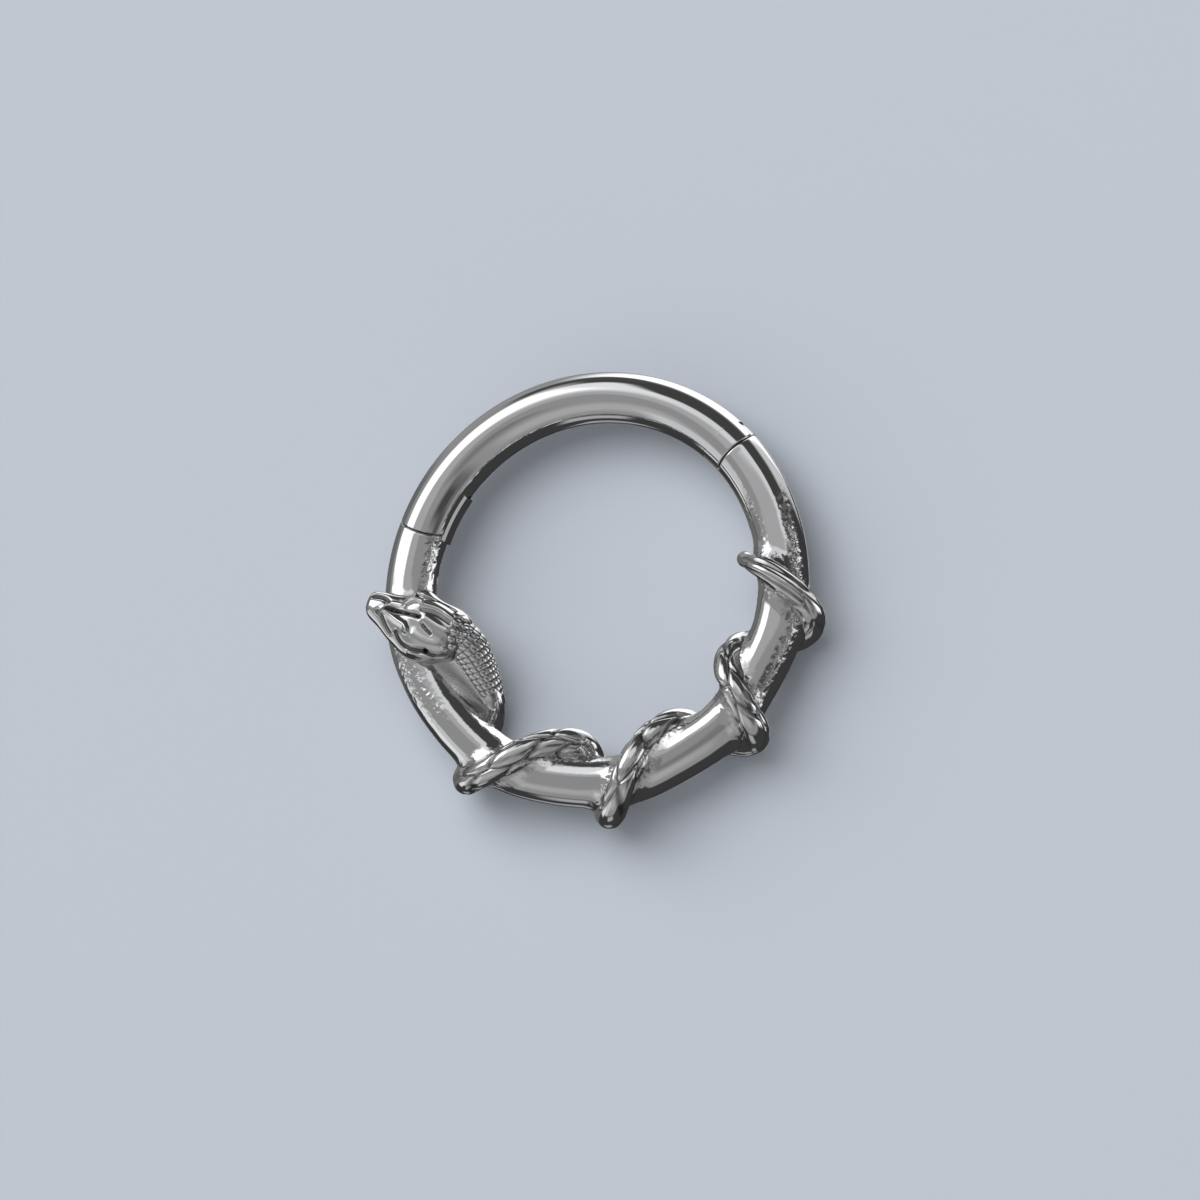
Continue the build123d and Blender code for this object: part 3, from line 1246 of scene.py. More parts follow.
    def _tongue(self) -> None:
        """The flat tongue that stands out of the casting into the gate's slot."""
        middle = self.tongue_height / 2 - self.ring.wire_radius - self.tongue_proud
        section = box_section(
            middle, self.tongue_height, self.tongue_thickness, self.tongue_columns
        )
        clasp_at = self.gate.clasp_at
        start = FlatEnd(self.ring, clasp_at, -self.tongue_root)
        turned = math.degrees(self.tongue_length / self.ring.ring_radius)
        finish = FlatEnd(self.ring, clasp_at + turned)
        run = WireRun(self.ring, section, start, finish, self.tongue_rows, self.tongue_edge)
        Piece("clasp_tongue", run.grid(), Body.CASTING, Finish.CAST, "serpent_arc").build()


@dataclass
class SnakeBody:
    """The snake's body from the knob of its tail to the root of its neck, laid like a rope."""

    ring: RingFrame
    line: SnakeLine
    columns: int = 84
    knob_radius: float = 0.185
    # The knob's round tip: how far back it turns, in degrees, and its circles
    tip_turn: float = 86.0
    tip_circles: int = 14
    lobe_pitch: float = 0.74
    lobe_half_length: float = 0.90
    lobe_half_width: float = 0.40
    lobe_height: float = 0.145
    lobe_tilt: float = 19.0
    lobe_slope: float = 0.04
    lobes_round: int = 3
    lobe_twist: float = 14.0
    crease_depth: float = 0.035
    crease_width: float = 0.16
    # Painted shade in the creases: what is left out of it, and its strength
    crease_left_out: float = 0.3
    crease_shade: float = 1.1
    # Depth of the lobes: its least share, how much less it is outside the wire than inside, the
    # height on the wire over which it grows, and the length over which it comes in from the tail
    lobe_least: float = 0.3
    lobe_outside: float = 0.45
    lobe_facing: tuple[float, float] = (-0.3, 0.25)
    lobe_begin: tuple[float, float] = (1.6, 2.8)
    lobe_seed: int = 21
    # How much the lobes differ: in place along, in place round and in height, as shares
    vary_along: float = 0.18
    vary_round: float = 0.08
    vary_height: float = 0.1
    tail_grooves: tuple[Groove, ...] = (Groove(-34.0, 0.060, 0.36), Groove(32.0, 0.028, 0.16))
    groove_shade: float = 0.6
    groove_begin: tuple[float, float] = (0.25, 0.6)
    groove_end: tuple[float, float] = (1.9, 2.7)
    fillet_reach: float = 0.22
    # Fine grain: its cell, height and seed, its least share, how far from the wire it reaches,
    # and how grainy the finish is at the most
    grain_cell: float = 0.07
    grain_height: float = 0.004
    grain_seed: int = 11
    grain_least: float = 0.25
    grain_reach: float = 0.2
    grain_strength: float = 0.6
    # Length over which grain and fillet come in from the knob
    knob_ease: float = 0.6
    # Radius along the tail: distance from the knob's centre and radius, in mm
    tail_girth: tuple[tuple[float, float], ...] = (
        (0.0, 0.185),
        (0.13, 0.185),
        (0.30, 0.165),
        (0.55, 0.20),
        (0.9, 0.25),
        (1.3, 0.27),
        (1.8, 0.285),
        (2.4, 0.32),
        (3.0, 0.345),
        (3.5, 0.345),
    )

    def build(self) -> None:
        """Makes the body as one tube.

        The tube's radius is the girth less the height that the lobes leave free. The lobes fade
        out towards the tail, which has grooves along it.
        """
        centre, length, around, girth = self._with_tip()
        away, beside = directions_along(centre, self.ring.wire_line(centre))
        turn = np.linspace(0, 2 * math.pi, self.columns, endpoint=False)[None]
        lobes, crease = self._lobes(length[:, None], turn)
        depth = self._depth(length, around)[:, None]
        groove, groove_shade = self._tail_grooves(length[:, None], turn)
        lowered = self.lobe_height * (1 - lobes) + self.crease_depth * crease
        radius = girth[:, None] - lowered * depth - groove
        direction = directions_round(away, beside, turn)
        grid = centre[:, None] + direction * radius[..., None]
        gap = self.ring.wire_clearance(grid)
        rise = fillet(gap, self.fillet_reach)
        along = np.repeat(length[:, None], self.columns, axis=1)
        way = turn * girth[:, None]
        closing_in = level(length, 0.0, self.knob_ease)[:, None]
        grain = np.clip(1 - np.maximum(gap, 0) / self.grain_reach, 0, 1) * closing_in
        once_round = 2 * math.pi * self.line.snake_radius
        bumps = lattice_noise(along, way, self.grain_cell, once_round, self.grain_seed)
        bumps = self.grain_height * bumps * (self.grain_least + grain)
        grid = grid + direction * (rise * closing_in + bumps * closing_in)[..., None]
        # Painted shade in the creases between lobes and in the tail's grooves
        shade_and_satin = np.clip(crease - self.crease_left_out, 0, 1) * self.crease_shade * depth
        Piece(
            "snake_body", grid, Body.CASTING, Finish.CAST, "serpent_arc", Closing.POLE,
            grain=grain * self.grain_strength, shade_and_satin=shade_and_satin + groove_shade, sharp_angle=80,
        ).build()

    def _with_tip(self) -> tuple[Array, Array, Array, Array]:
        """Puts the knob's round tip before the line: radius · cos q at radius · sin q back.

        Returns:
            The centre line, its length in mm, its angle round the wire and the body's radius.
        """
        turn = np.linspace(math.radians(self.tip_turn), 0, self.tip_circles)[:-1]
        back = self.knob_radius * np.sin(turn)
        first = self.line.centre[0]
        heading = self.line.centre[1] - first
        heading /= np.linalg.norm(heading)
        tip = first - heading * back[:, None]
        centre = np.concatenate([tip, self.line.centre])
        length = np.concatenate([-back, self.line.length])
        around = np.concatenate([np.full(len(back), self.line.around[0]), self.line.around])
        table = np.array(self.tail_girth)
        tail = smooth_through(table[:, 0], table[:, 1], np.minimum(self.line.length, table[-1, 0]))
        girth = np.concatenate([self.knob_radius * np.cos(turn), tail])
        return centre, length, around, girth

    def _tail_grooves(self, length: Array, turn: Array) -> tuple[Array, Array]:
        """Depth and shade of the grooves along the tail, each depth · e^(−(turn / width)²).

        Args:
            length: length along the body in mm, shape (n, 1).
            turn: angle round the body, shape (1, m).

        Returns:
            Depth in mm and shade from 0 to 1, shape (n, m) each.
        """
        fade = level(length, *self.groove_begin) * (1 - level(length, *self.groove_end))
        total = np.zeros(np.broadcast(length, turn).shape)
        shade = np.zeros_like(total)
        for groove in self.tail_grooves:
            off = np.mod(turn - math.radians(groove.around) + math.pi, 2 * math.pi) - math.pi
            form = np.exp(-((off / groove.half_width) ** 2)) * fade
            total += groove.depth * form
            shade = np.maximum(shade, self.groove_shade * form)
        return total, shade

    def _depth(self, length: Array, around: Array) -> Array:
        """How deep the lobes are: none at the knob, full over the front, less behind.

        The front is told by sin(around) less a share of cos(around) outside the wire.

        Args:
            length: length along the body in mm, shape (n,).
            around: angle of the body round the wire in degrees, shape (n,).

        Returns:
            Shares from 0 to 1, shape (n,).
        """
        turn = np.radians(around)
        facing = np.sin(turn) - self.lobe_outside * np.maximum(np.cos(turn), 0)
        share = self.lobe_least + (1 - self.lobe_least) * level(facing, *self.lobe_facing)
        return share * level(length, *self.lobe_begin)

    def _lobes(self, length: Array, turn: Array) -> tuple[Array, Array]:
        """Height of the leaf-shaped lobes over the body, as a share, and the creases between them.

        Lobes stand in rows, every other row half a lobe round. A lobe is √(1 − (x/a)² − (y/b)²)
        with a slope along it, where x and y are counted along and across its tilted axis, and the
        greatest of those near a point is taken. A crease is e^(−(d / width)²), where d is how far
        the second greatest lies below the greatest.

        Args:
            length: length along the body in mm, shape (n, 1).
            turn: angle round the body, shape (1, m).

        Returns:
            Heights from 0 to about 1 and creases from 0 to 1, shape (n, m) each.
        """
        apart = 2 * math.pi / self.lobes_round
        tilt = math.radians(self.lobe_tilt)
        radius = self.line.snake_radius
        first = np.floor(length / self.lobe_pitch)
        total = np.zeros(np.broadcast(length, turn).shape)
        second = np.zeros_like(total)
        vary = np.random.default_rng(self.lobe_seed).uniform(-1, 1, (LOBE_ROWS, 3))
        lowest = 1 - self.vary_height
        for step in (-1, 0, 1, 2):
            row = first + step
            change = vary[np.mod(row, LOBE_ROWS).astype(int)]
            centre = (row + self.vary_along * change[..., 0]) * self.lobe_pitch
            phase = (row / 2 + self.vary_round * change[..., 1]) * apart
            phase = phase + math.radians(self.lobe_twist) * row
            nearest = np.round((turn - phase) / apart)
            for beside in (-1, 0, 1):
                aside = (turn - phase - (nearest + beside) * apart) * radius
                ahead = length - centre
                along = (ahead * math.cos(tilt) + aside * math.sin(tilt)) / self.lobe_half_length
                across = (aside * math.cos(tilt) - ahead * math.sin(tilt)) / self.lobe_half_width
                size = 1 - along**2 - across**2
                bulge = np.sqrt(np.maximum(size, 0)) * (lowest + self.vary_height * change[..., 2])
                slope = self.lobe_slope / self.lobe_height * along
                height = np.where(size > 0, bulge + slope, 0)
                second = np.maximum(second, np.minimum(total, height))
                total = np.maximum(total, height)
        return total, np.exp(-(((total - second) / self.crease_width) ** 2))


@dataclass
class SnakeNeck:
    """The scaled neck, which arches off the inside of the wire up to the head."""

    ring: RingFrame
    rows: int = 300
    columns: int = 260
    scale_length: float = 0.16
    scales_round: int = 17
    scale_height: float = 0.036
    # The power that flattens a scale's top, the height where it neither adds nor takes, and the
    # height below which the groove round it takes painted shade, with the most shade
    scale_power: float = 0.26
    scale_level: float = 0.8
    groove_level: float = 0.70
    groove_fade: float = 0.4
    darkest_groove_shade: float = 0.85
    fillet_reach: float = 0.2
    # How far the tube runs on past the first and last points, and how its scales come in there
    root_reach: float = 0.12
    head_reach: float = 0.1
    root_ease: float = 0.3
    # The web: where it leaves the two circles, in degrees, how far it lies below them, the least
    # reach of their tangents, its points from one to the other, how grainy it is, and its painted
    # shade, which dulls it too
    web_turn: float = 56.0
    web_skin: float = 0.006
    web_reach: float = 0.02
    web_points: int = 40
    web_grain: float = 0.25
    web_shade: float = 0.3
    line: tuple[NeckPoint, ...] = (
        NeckPoint(-2.660, -2.509, -0.35, 0.35),
        NeckPoint(-2.764, -2.051, -0.10, 0.41),
        NeckPoint(-2.882, -1.685, 0.10, 0.44),
        NeckPoint(-3.010, -1.326, 0.35, 0.45),
        NeckPoint(-3.190, -1.120, 0.50, 0.44),
    )

    def spine(self) -> tuple[Array, Array]:
        """Runs a smooth line through the neck's points.

        Returns:
            Points of the centre line, shape (rows, 3), and the radius there, shape (rows,).
        """
        table = np.array(self.line)
        table[:, 2] += self.ring.mid_height
        step = np.linalg.norm(np.diff(table[:, :3], axis=0), axis=1)
        knots = np.concatenate([[0], np.cumsum(step)])
        place = np.linspace(-self.root_reach, knots[-1] + self.head_reach, self.rows)
        whole = smooth_through(knots, table, place)
        return whole[:, :3], whole[:, 3]

    def build(self) -> None:
        """Makes the neck as a tube whose scales stand up as rows of small round-cornered beads.

        A bead is the product of two sines, one along the neck and one round it, to a power that
        leaves its top almost flat.
        """
        centre, radius = self.spine()
        away, beside = directions_along(centre, self.ring.wire_line(centre))
        turn = np.linspace(0, 2 * math.pi, self.columns, endpoint=False)[None]
        step = np.linalg.norm(np.diff(centre, axis=0), axis=1)
        length = np.concatenate([[0], np.cumsum(step)])
        row = length / self.scale_length
        along_wave = np.abs(np.sin(math.pi * row))[:, None]
        round_wave = np.abs(np.sin(turn / 2 * self.scales_round))
        bead = (along_wave * round_wave) ** self.scale_power
        ends = level(length, 0, self.root_ease) * level(length[-1] - length, 0, self.head_reach)
        full = radius[:, None] + self.scale_height * (bead - self.scale_level) * ends[:, None]
        direction = directions_round(away, beside, turn)
        grid = centre[:, None] + direction * full[..., None]
        gap = self.ring.wire_clearance(grid)
        grid = grid + direction * fillet(gap, self.fillet_reach)[..., None]
        # Painted shade in the grooves round the scales
        shade_and_satin = np.clip((self.groove_level - bead) / self.groove_fade, 0, self.darkest_groove_shade)
        shade_and_satin = shade_and_satin * ends[:, None]
        Piece(
            "snake_neck", grid, Body.CASTING, Finish.CAST, "serpent_arc", Closing.POLE,
            shade_and_satin=shade_and_satin, sharp_angle=80,
        ).build()
        self._web(centre, radius)

    def _web(self, centre: Array, radius: Array) -> None:
        """The metal that fills the corner between the neck and the wire.

        A row runs round the gap between two circles, the wire's and the neck's. Above and below it
        is the curve (1 − s)² · A + 2s(1 − s) · C + s² · B, where A and B lie on the two circles
        and C is where their tangents meet.

        Args:
            centre: the neck's centre line, shape (n, 3).
            radius: the neck's radius along it, shape (n,).
        """
        wire = self.ring.wire_line(centre)
        apart = np.linalg.norm(centre - wire, axis=1)
        outward = (centre - wire) / apart[:, None]
        upward = np.cross(np.gradient(centre, axis=0), outward)
        upward *= np.sign(upward[:, 2:]) / np.linalg.norm(upward, axis=1, keepdims=True)
        cos, sin = math.cos(math.radians(self.web_turn)), math.sin(math.radians(self.web_turn))
        large, small = self.ring.wire_radius - self.web_skin, radius - self.web_skin
        reach = (apart - (small + large) * cos - (small - large) * sin * sin / cos) / (2 * sin)
        reach = np.maximum(reach, self.web_reach)
        corners = (
            (np.full_like(apart, large * cos), np.full_like(apart, large * sin)),
            (large * cos + reach * sin, large * sin - reach * cos),
            (apart - small * cos, small * sin),
        )
        share = np.linspace(0, 1, self.web_points)[None]
        parts = ((1 - share) ** 2, 2 * share * (1 - share), share**2)
        across = sum(part * corner[0][:, None] for part, corner in zip(parts, corners))
        above = sum(part * corner[1][:, None] for part, corner in zip(parts, corners))
        across = np.concatenate([across, across[:, ::-1]], axis=1)
        above = np.concatenate([above, -above[:, ::-1]], axis=1)
        offset = outward[:, None] * across[..., None] + upward[:, None] * above[..., None]
        Piece(
            "neck_web", wire[:, None] + offset, Body.CASTING, Finish.CAST, "serpent_arc",
            grain=np.full_like(across, self.web_grain),
            # Painted shade over the whole web, in the corner between neck and wire
            shade_and_satin=np.full_like(across, self.web_shade),
            sharp_angle=80,
        ).build()


@dataclass
class SnakeHead:
    """The flat, broad head that lies over the wire with its snout past the outer edge."""

    ring: RingFrame
    origin: tuple[float, float, float] = (-3.5732, -0.9842, 0.516)
    heading: tuple[float, float] = (-0.94709, 0.32087)
    rows: int = 330
    columns: int = 250
    # Rows lie closer at both ends, as on a wave from this share of it to as far from its end
    row_margin: float = 0.04
    roundness: float = 2.5
    ridge_points: int = 60
    # Heights on the slice, as shares of its half height, between which the relief comes in
    relief_from: float = 0.25
    relief_full: float = 0.70
    # The head's even satin, a darker and duller tone over all of it, and the painted shade in its
    # grooves: the depth in mm that counts as one, the depth left out and the most
    satin: float = 0.08
    groove_depth: float = 0.08
    groove_left_out: float = 0.15
    darkest_groove_shade: float = 0.85
    # Where the collar of beads starts, and how much painted shade lies between them
    collar_start: float = -0.27
    collar_ease: float = 0.1
    collar_shade: float = 0.75
    # The line under which the wire gets its fillet: place along the head and radius
    under_line: tuple[tuple[float, float], ...] = (
        (-0.3, 0.42),
        (0.5, 0.5),
        (1.2, 0.36),
        (1.7, 0.3),
    )
    under_points: int = 40
    slices: tuple[Slice, ...] = (
        Slice(-0.72, -0.22, 0.20, 0.22, -0.24),
        Slice(-0.60, -0.40, 0.38, 0.36, -0.32),
        Slice(-0.45, -0.53, 0.58, 0.43, -0.34),
        Slice(-0.26, -0.60, 0.68, 0.50, -0.34),
        Slice(0.05, -0.64, 0.81, 0.53, -0.32),
        Slice(0.35, -0.70, 0.89, 0.545, -0.28),
        Slice(0.65, -0.79, 0.86, 0.54, -0.25),
        Slice(0.88, -0.69, 0.77, 0.51, -0.23),
        Slice(1.05, -0.58, 0.69, 0.46, -0.21),
        Slice(1.32, -0.49, 0.54, 0.42, -0.21),
        Slice(1.60, -0.46, 0.37, 0.41, -0.24),
        Slice(1.81, -0.43, 0.27, 0.38, -0.27),
        Slice(1.95, -0.38, 0.17, 0.30, -0.25),
        Slice(2.03, -0.30, 0.08, 0.15, -0.18),
    )
    ridges: tuple[Ridge, ...] = (
        # The slit at the side of the snout, and the nostril
        Ridge(-0.09, 0.055, ((1.86, -0.25), (1.70, -0.28), (1.55, -0.28), (1.44, -0.23))),
        Ridge(-0.07, 0.05, ((1.62, 0.05), (1.48, 0.13), (1.32, 0.30), (1.14, 0.45))),
        # Brow ridges
        Ridge(0.085, 0.075, ((1.44, 0.0), (1.21, 0.06), (1.0, 0.13), (0.80, 0.18), (0.70, 0.29))),
        Ridge(0.06, 0.05, ((1.40, -0.19), (1.15, -0.22), (0.96, -0.22))),
        Ridge(0.07, 0.06, ((0.96, -0.32), (0.86, -0.42), (0.74, -0.49), (0.58, -0.50))),
        # The line down the middle, and on round the raised plate
        Ridge(-0.12, 0.042, ((1.42, -0.07), (1.05, -0.09), (0.75, -0.12), (0.52, -0.12))),
        Ridge(-0.08, 0.03, ((0.36, 0.04), (0.24, 0.11), (0.10, 0.18))),
        Ridge(-0.05, 0.04, ((0.52, -0.30), (0.30, -0.33), (0.05, -0.31), (-0.25, -0.22))),
        # The raised plate itself, the band above it and the cheek below it
        Ridge(0.05, 0.12, ((0.34, -0.12), (0.05, -0.04), (-0.22, 0.02))),
        Ridge(0.05, 0.08, ((0.52, -0.44), (0.25, -0.47), (0.0, -0.44), (-0.30, -0.32))),
        Ridge(0.04, 0.12, ((0.50, 0.33), (0.34, 0.38), (0.12, 0.41), (-0.10, 0.40))),
        # Steps under the brow and along the jaw
        Ridge(-0.09, 0.045, ((1.00, 0.38), (0.86, 0.52), (0.66, 0.63), (0.40, 0.64), (0.12, 0.60))),
        Ridge(-0.08, 0.045, ((0.12, 0.60), (-0.12, 0.63), (-0.34, 0.54))),
        Ridge(-0.05, 0.04, ((0.80, -0.62), (0.50, -0.60), (0.20, -0.59), (-0.20, -0.50))),
        Ridge(0.06, 0.05, ((0.50, 0.77), (0.22, 0.76), (-0.05, 0.72))),
    )
    beads: tuple[Feature, ...] = (
        Feature(0.72, 0.28, 0.10, 0.02),
        Feature(-0.36, -0.44, 0.09, 0.08),
        Feature(-0.52, -0.42, 0.08, 0.08),
        Feature(-0.42, -0.25, 0.10, 0.09),
        Feature(-0.60, -0.24, 0.08, 0.08),
        Feature(-0.44, -0.04, 0.10, 0.09),
        Feature(-0.62, -0.05, 0.08, 0.08),
        Feature(-0.42, 0.15, 0.09, 0.08),
        Feature(-0.59, 0.13, 0.07, 0.07),
        Feature(-0.48, 0.33, 0.09, 0.08),
        Feature(-0.32, 0.46, 0.08, 0.06),
    )

    def axes(self) -> tuple[Array, Array, Array]:
        """Works out the head's place and directions.

        Returns:
            Its middle, its direction to the snout and the one across.
        """
        middle = np.array(self.origin) + UP * self.ring.mid_height
        along = np.array([*self.heading, 0.0])
        return middle, along, np.cross(UP, along)

    def spine(self) -> tuple[Array, Array]:
        """A line along the head for the wire's fillet under it.

        Returns:
            Points of the line, shape (n, 3), and the radius there, shape (n,).
        """
        middle, along, _ = self.axes()
        table = np.array(self.under_line)
        place = np.linspace(table[0, 0], table[-1, 0], self.under_points)
        return middle + along * place[:, None], np.interp(place, table[:, 0], table[:, 1])

    def build(self) -> None:
        """Makes the head as a tube of rounded slices with relief on its upper face.

        A slice is a superellipse between its two edges and between its top and bottom: a point at
        angle t is half-width · |cos t|^(2/n) aside and half-height · |sin t|^(2/n) up. The relief
        is the sum of ridges, each height · e^(−(d / half width)²) at a distance d from its line.
        """
        table = np.array(self.slices)
        share = np.linspace(0, 1, self.rows)
        spread = self.row_margin + (1 - 2 * self.row_margin) * share
        spread = 0.5 - 0.5 * np.cos(math.pi * spread)
        low, high = table[0, 0], table[-1, 0]
        along = low + (high - low) * (spread - spread[0]) / (spread[-1] - spread[0])
        edges = smooth_through(table[:, 0], table[:, 1:], along)
        middle_b, half_b = edges[:, :2].mean(1), (edges[:, 1] - edges[:, 0]) / 2
        middle_n, half_n = edges[:, 2:].mean(1), (edges[:, 2] - edges[:, 3]) / 2
        turn = np.linspace(0, 2 * math.pi, self.columns, endpoint=False)[None]
        power = 2 / self.roundness
        aside = np.sign(np.cos(turn)) * np.abs(np.cos(turn)) ** power
        upward = np.sign(np.sin(turn)) * np.abs(np.sin(turn)) ** power
        across = middle_b[:, None] + half_b[:, None] * aside
        height = middle_n[:, None] + half_n[:, None] * upward
        flat_along = np.repeat(along[:, None], self.columns, axis=1)
        relief, shade_and_satin = self._relief(flat_along, across)
        top = level(upward, self.relief_from, self.relief_full)
        height = height + relief * top
        middle, forward, aside_way = self.axes()
        grid = (
            middle
            + forward * flat_along[..., None]
            + aside_way * across[..., None]
            + UP * height[..., None]
        )
        Piece(
            "snake_head", grid, Body.CASTING, Finish.CAST, "serpent_arc", Closing.POLE,
            # Painted shade on the upper face, never less than the head's even satin
            shade_and_satin=np.maximum(shade_and_satin * top, self.satin), sharp_angle=80,
        ).build()

    def _relief(self, along: Array, across: Array) -> tuple[Array, Array]:
        """Height of the relief over the head: ridges, and beads of height · √(1 − (d / radius)²).

        Args:
            along: place along the head in mm.
            across: place across it in mm.

        Returns:
            Height in mm and the painted shade there, in grooves and between beads, from 0 to 1.
        """
        points = np.stack([along, across, np.zeros_like(along)], axis=-1)
        total = np.zeros_like(along)
        for ridge in self.ridges:
            knots = np.arange(len(ridge.points))
            place = np.linspace(0, knots[-1], self.ridge_points)
            way = smooth_through(knots, np.array(ridge.points), place)
            way = np.concatenate([way, np.zeros((self.ridge_points, 1))], axis=1)
            apart = clearance(points, way, np.zeros(self.ridge_points))
            total += ridge.height * np.exp(-((apart / ridge.half_width) ** 2))
        # Painted shade in the grooves, darker as they are deeper
        shade_and_satin = np.clip(-total / self.groove_depth - self.groove_left_out, 0, self.darkest_groove_shade)
        covered = np.zeros_like(along)
        for bead in self.beads:
            apart = np.hypot(along - bead.along, across - bead.across) / bead.radius
            dome = np.sqrt(np.clip(1 - apart**2, 0, 1))
            total += bead.height * dome
            covered = np.maximum(covered, dome)
        # Painted shade in the collar between the beads
        collar = level(self.collar_start - along, 0, self.collar_ease)
        between = np.clip(self.collar_shade * (1 - 2 * covered), 0, 1)
        return total, np.maximum(shade_and_satin, collar * between)


@dataclass(frozen=True)
class RoomPatch:
    """A soft-edged patch of the studio's walls; its place and size are degrees from the ring."""

    azimuth: float
    elevation: float
    half_width: float
    half_height: float
    edge: float
    radiance: float

    def paint(self, desk: NodeDesk, azimuth: object, elevation: object, under: object) -> object:
        """Lays the patch over what is painted already.

        Its mask is the product of two eased steps, one of the distance in azimuth and one of the
        distance in elevation.

        Args:
            desk: the room's nodes.
            azimuth: socket with the azimuth in degrees.
            elevation: socket with the elevation in degrees.
            under: the radiance painted so far, a number or a socket.

        Returns:
            The socket with the new radiance.
        """
        turned = desk.maths("WRAP", desk.maths("SUBTRACT", azimuth, self.azimuth), 180.0)
        turned.node.inputs[2].default_value = -180.0
        risen = desk.maths("SUBTRACT", elevation, self.elevation)
        masks = []
        for apart, half in ((turned, self.half_width), (risen, self.half_height)):
            step = desk.add("ShaderNodeMapRange", interpolation_type="SMOOTHSTEP")
            desk.join(desk.maths("ABSOLUTE", apart, 0.0), step.inputs["Value"])
            step.inputs["From Min"].default_value = half + self.edge / 2
            step.inputs["From Max"].default_value = half - self.edge / 2
            masks.append(step.outputs["Result"])
        mix = desk.add("ShaderNodeMix", data_type="FLOAT")
        desk.join(desk.maths("MULTIPLY", *masks), mix.inputs["Factor"])
        if isinstance(under, bpy.types.NodeSocket):
            desk.join(under, mix.inputs["A"])
        else:
            mix.inputs["A"].default_value = under
        mix.inputs["B"].default_value = self.radiance
        return mix.outputs["Result"]


@dataclass(frozen=True)
class Softbox:
    """A light panel over the floor, which the steel doesn't mirror."""

    title: str
    azimuth: float
    elevation: float
    side: float
    radiance: float
    distance: float = 0.7

    def build(self) -> None:
        """Hangs the panel facing the ring; its power is π · area · radiance."""
        panel = bpy.data.lights.new(self.title, "AREA")
        panel.shape = "DISK"
        panel.size = self.side
        panel.energy = math.pi * self.side**2 * self.radiance
        made = bpy.data.objects.new(self.title, panel)
        bpy.context.scene.collection.objects.link(made)
        turn, rise = math.radians(self.azimuth), math.radians(self.elevation)
        level_part = math.cos(rise)
        way = Vector((math.cos(turn) * level_part, math.sin(turn) * level_part, math.sin(rise)))
        made.location = way * self.distance
        made.rotation_euler = way.to_track_quat("Z", "Y").to_euler()
        made.visible_glossy = False


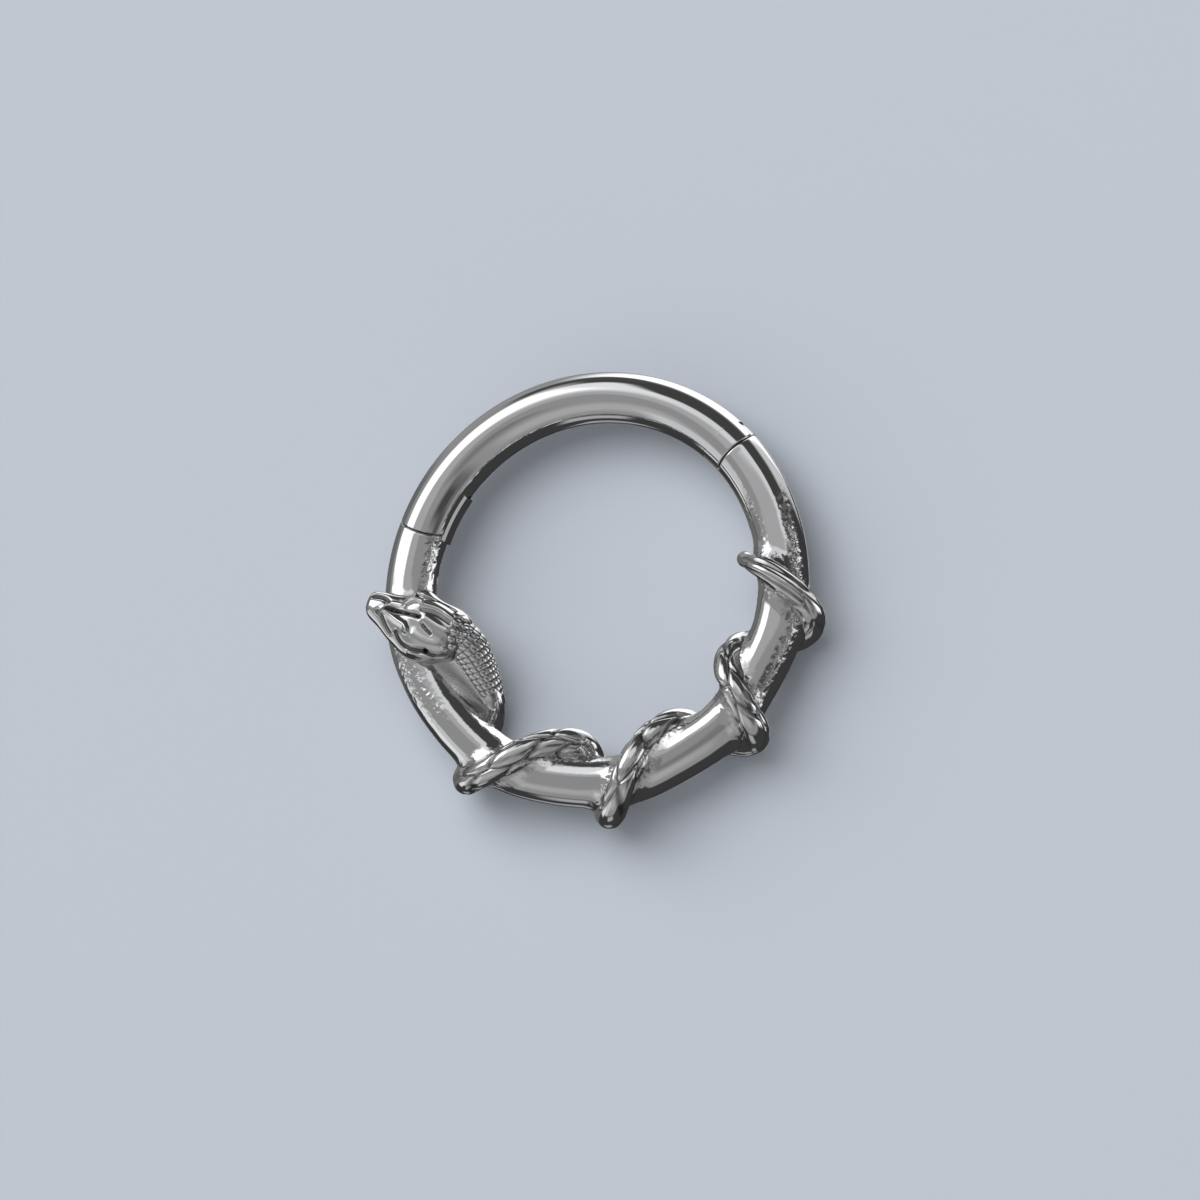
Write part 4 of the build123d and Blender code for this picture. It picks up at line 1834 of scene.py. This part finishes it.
@dataclass
class Studio:
    """The pale floor, the soft lights and the camera at the photograph's angle."""

    ring: RingFrame
    floor_side: float = 3.0
    floor_colour: tuple[float, float, float] = (0.72, 0.775, 0.86)
    room_colour: tuple[float, float, float] = (0.985, 0.99, 1.0)
    room_radiance: float = 0.35
    view_right: tuple[float, float, float] = (0.9465, 0.0321, -0.3210)
    view_up: tuple[float, float, float] = (0.0321, 0.9807, 0.1929)
    view_back: tuple[float, float, float] = (0.3210, -0.1929, 0.9272)
    # How far the frame's middle lies from the ring's middle, right and up, and its width, in mm
    frame_offset: tuple[float, float] = (0.077, -0.236)
    frame_width: float = 28.1
    camera_distance: float = 350.0
    sensor: float = 36.0
    # Walls and panels, painted one over another: the last ones lie on top
    patches: tuple[RoomPatch, ...] = (
        # Ceiling over the back, and the wall in front
        RoomPatch(95, 76, 70, 20, 24, 0.50),
        RoomPatch(-80, 74, 34, 10, 16, 0.24),
        RoomPatch(-110, 34, 42, 16, 20, 0.50),
        RoomPatch(-155, 12, 24, 21, 12, 0.72),
        # Below the ring: a dark stand in front, pale ground behind
        RoomPatch(0, -48, 180, 44, 8, 0.055),
        RoomPatch(54, -31, 10, 26, 10, 0.75),
        RoomPatch(91, -33, 29, 25, 8, 1.7),
        RoomPatch(108, -50, 12, 30, 10, 1.6),
        RoomPatch(-128, -54, 16, 9, 6, 0.45),
        RoomPatch(-108, -17, 14, 9, 8, 0.50),
        RoomPatch(130, -34, 18, 32, 16, 0.38),
        RoomPatch(166, -34, 18, 32, 16, 0.20),
        RoomPatch(5, -17, 9, 20, 9, 1.6),
        RoomPatch(-8, -12, 8, 9, 7, 1.2),
        RoomPatch(-163, -4, 12, 10, 8, 1.0),
        # Panel over the back, with dark cloth under it and beside the camera
        RoomPatch(90, 54, 52, 9, 7, 0.84),
        RoomPatch(74, 22, 40, 23, 6, 0.065),
        RoomPatch(24, 14, 14, 26, 12, 0.15),
        RoomPatch(-32, 38, 17, 24, 14, 0.17),
        RoomPatch(-30, 42, 8, 14, 8, 0.08),
        RoomPatch(-14, 24, 12, 10, 8, 0.11),
        RoomPatch(180, 14, 7, 16, 8, 0.25),
        # The key panel and its dimmer side
        RoomPatch(116, 42, 12, 15, 9, 1.0),
        RoomPatch(112, 4, 15, 9, 7, 0.08),
        RoomPatch(144, 37, 21, 17, 13, 2.0),
    )
    panels: tuple[Softbox, ...] = (Softbox("top_softbox", 120, 62, 0.7, 1.1),)

    def build(self) -> None:
        """Sets floor, lights, surroundings and camera."""
        self._floor()
        for panel in self.panels:
            panel.build()
        self._surroundings()
        self._camera()

    def _floor(self) -> None:
        """A large pale plane under the lowest point of the ring."""
        half, low = self.floor_side / 2, CAD_BOX[0].z
        corners = [(-half, -half, low), (half, -half, low), (half, half, low), (-half, half, low)]
        mesh = bpy.data.meshes.new("studio_floor")
        mesh.from_pydata(corners, [], [(0, 1, 2, 3)])
        floor = bpy.data.objects.new("studio_floor", mesh)
        bpy.context.scene.collection.objects.link(floor)
        material = bpy.data.materials.new("floor_paint")
        desk = NodeDesk(material)
        shader = desk.add("ShaderNodeBsdfPrincipled", in_Roughness=0.9)
        shader.inputs["Base Color"].default_value = (*self.floor_colour, 1)
        shader.inputs["Specular IOR Level"].default_value = 0.1
        output = desk.add("ShaderNodeOutputMaterial")
        desk.join(shader.outputs["BSDF"], output.inputs["Surface"])
        mesh.materials.append(material)
        floor.visible_glossy = False

    def _surroundings(self) -> None:
        """The room round the ring, painted by azimuth and elevation, and the plain view."""
        world = bpy.data.worlds.new("studio_room")
        desk = NodeDesk(world)
        parts = desk.add("ShaderNodeSeparateXYZ")
        desk.join(desk.add("ShaderNodeTexCoord").outputs["Generated"], parts.inputs[0])
        ahead, aside, upward = (parts.outputs[axis] for axis in "XYZ")
        azimuth = desk.maths("MULTIPLY", desk.maths("ARCTAN2", aside, ahead), math.degrees(1))
        elevation = desk.maths("MULTIPLY", desk.maths("ARCSINE", upward, 0.0), math.degrees(1))
        radiance = self.room_radiance
        for patch in self.patches:
            radiance = patch.paint(desk, azimuth, elevation, radiance)
        room = desk.add("ShaderNodeBackground")
        room.inputs["Color"].default_value = (*self.room_colour, 1)
        desk.join(radiance, room.inputs["Strength"])
        desk.join(room.outputs[0], desk.add("ShaderNodeOutputWorld").inputs["Surface"])
        bpy.context.scene.world = world
        bpy.context.scene.view_settings.view_transform = "Standard"

    def _camera(self) -> None:
        """A long lens far off, so that the picture is almost without perspective."""
        right, up, back = (Vector(way) for way in (self.view_right, self.view_up, self.view_back))
        lens = bpy.data.cameras.new("camera")
        lens.sensor_width = self.sensor
        lens.lens = self.sensor * self.camera_distance / self.frame_width
        lens.clip_start, lens.clip_end = 0.01, 10.0
        made = bpy.data.objects.new("camera", lens)
        bpy.context.scene.collection.objects.link(made)
        middle = Vector((0, 0, self.ring.mid_height))
        middle += right * self.frame_offset[0] + up * self.frame_offset[1]
        place = (middle + back * self.camera_distance) * MM
        turn = Matrix((right, up, back)).transposed().to_4x4()
        made.matrix_world = Matrix.Translation(place) @ turn
        bpy.context.scene.camera = made


def main() -> None:
    """Builds the sub-assemblies in order."""
    logging.basicConfig(level=logging.INFO, format="%(message)s")
    ring = RingFrame.from_cad()
    gate = Gate(ring)
    line = SnakeLine(ring)
    neck = SnakeNeck(ring)
    head = SnakeHead(ring)
    around_wire = [(line.centre[::4], line.girth[::4]), neck.spine(), head.spine()]
    gate.build()
    HingePin(ring).build()
    CastArc(ring, gate, around_wire).build()
    SnakeBody(ring, line).build()
    neck.build()
    head.build()
    Studio(ring).build()


if __name__ == "__main__":
    main()
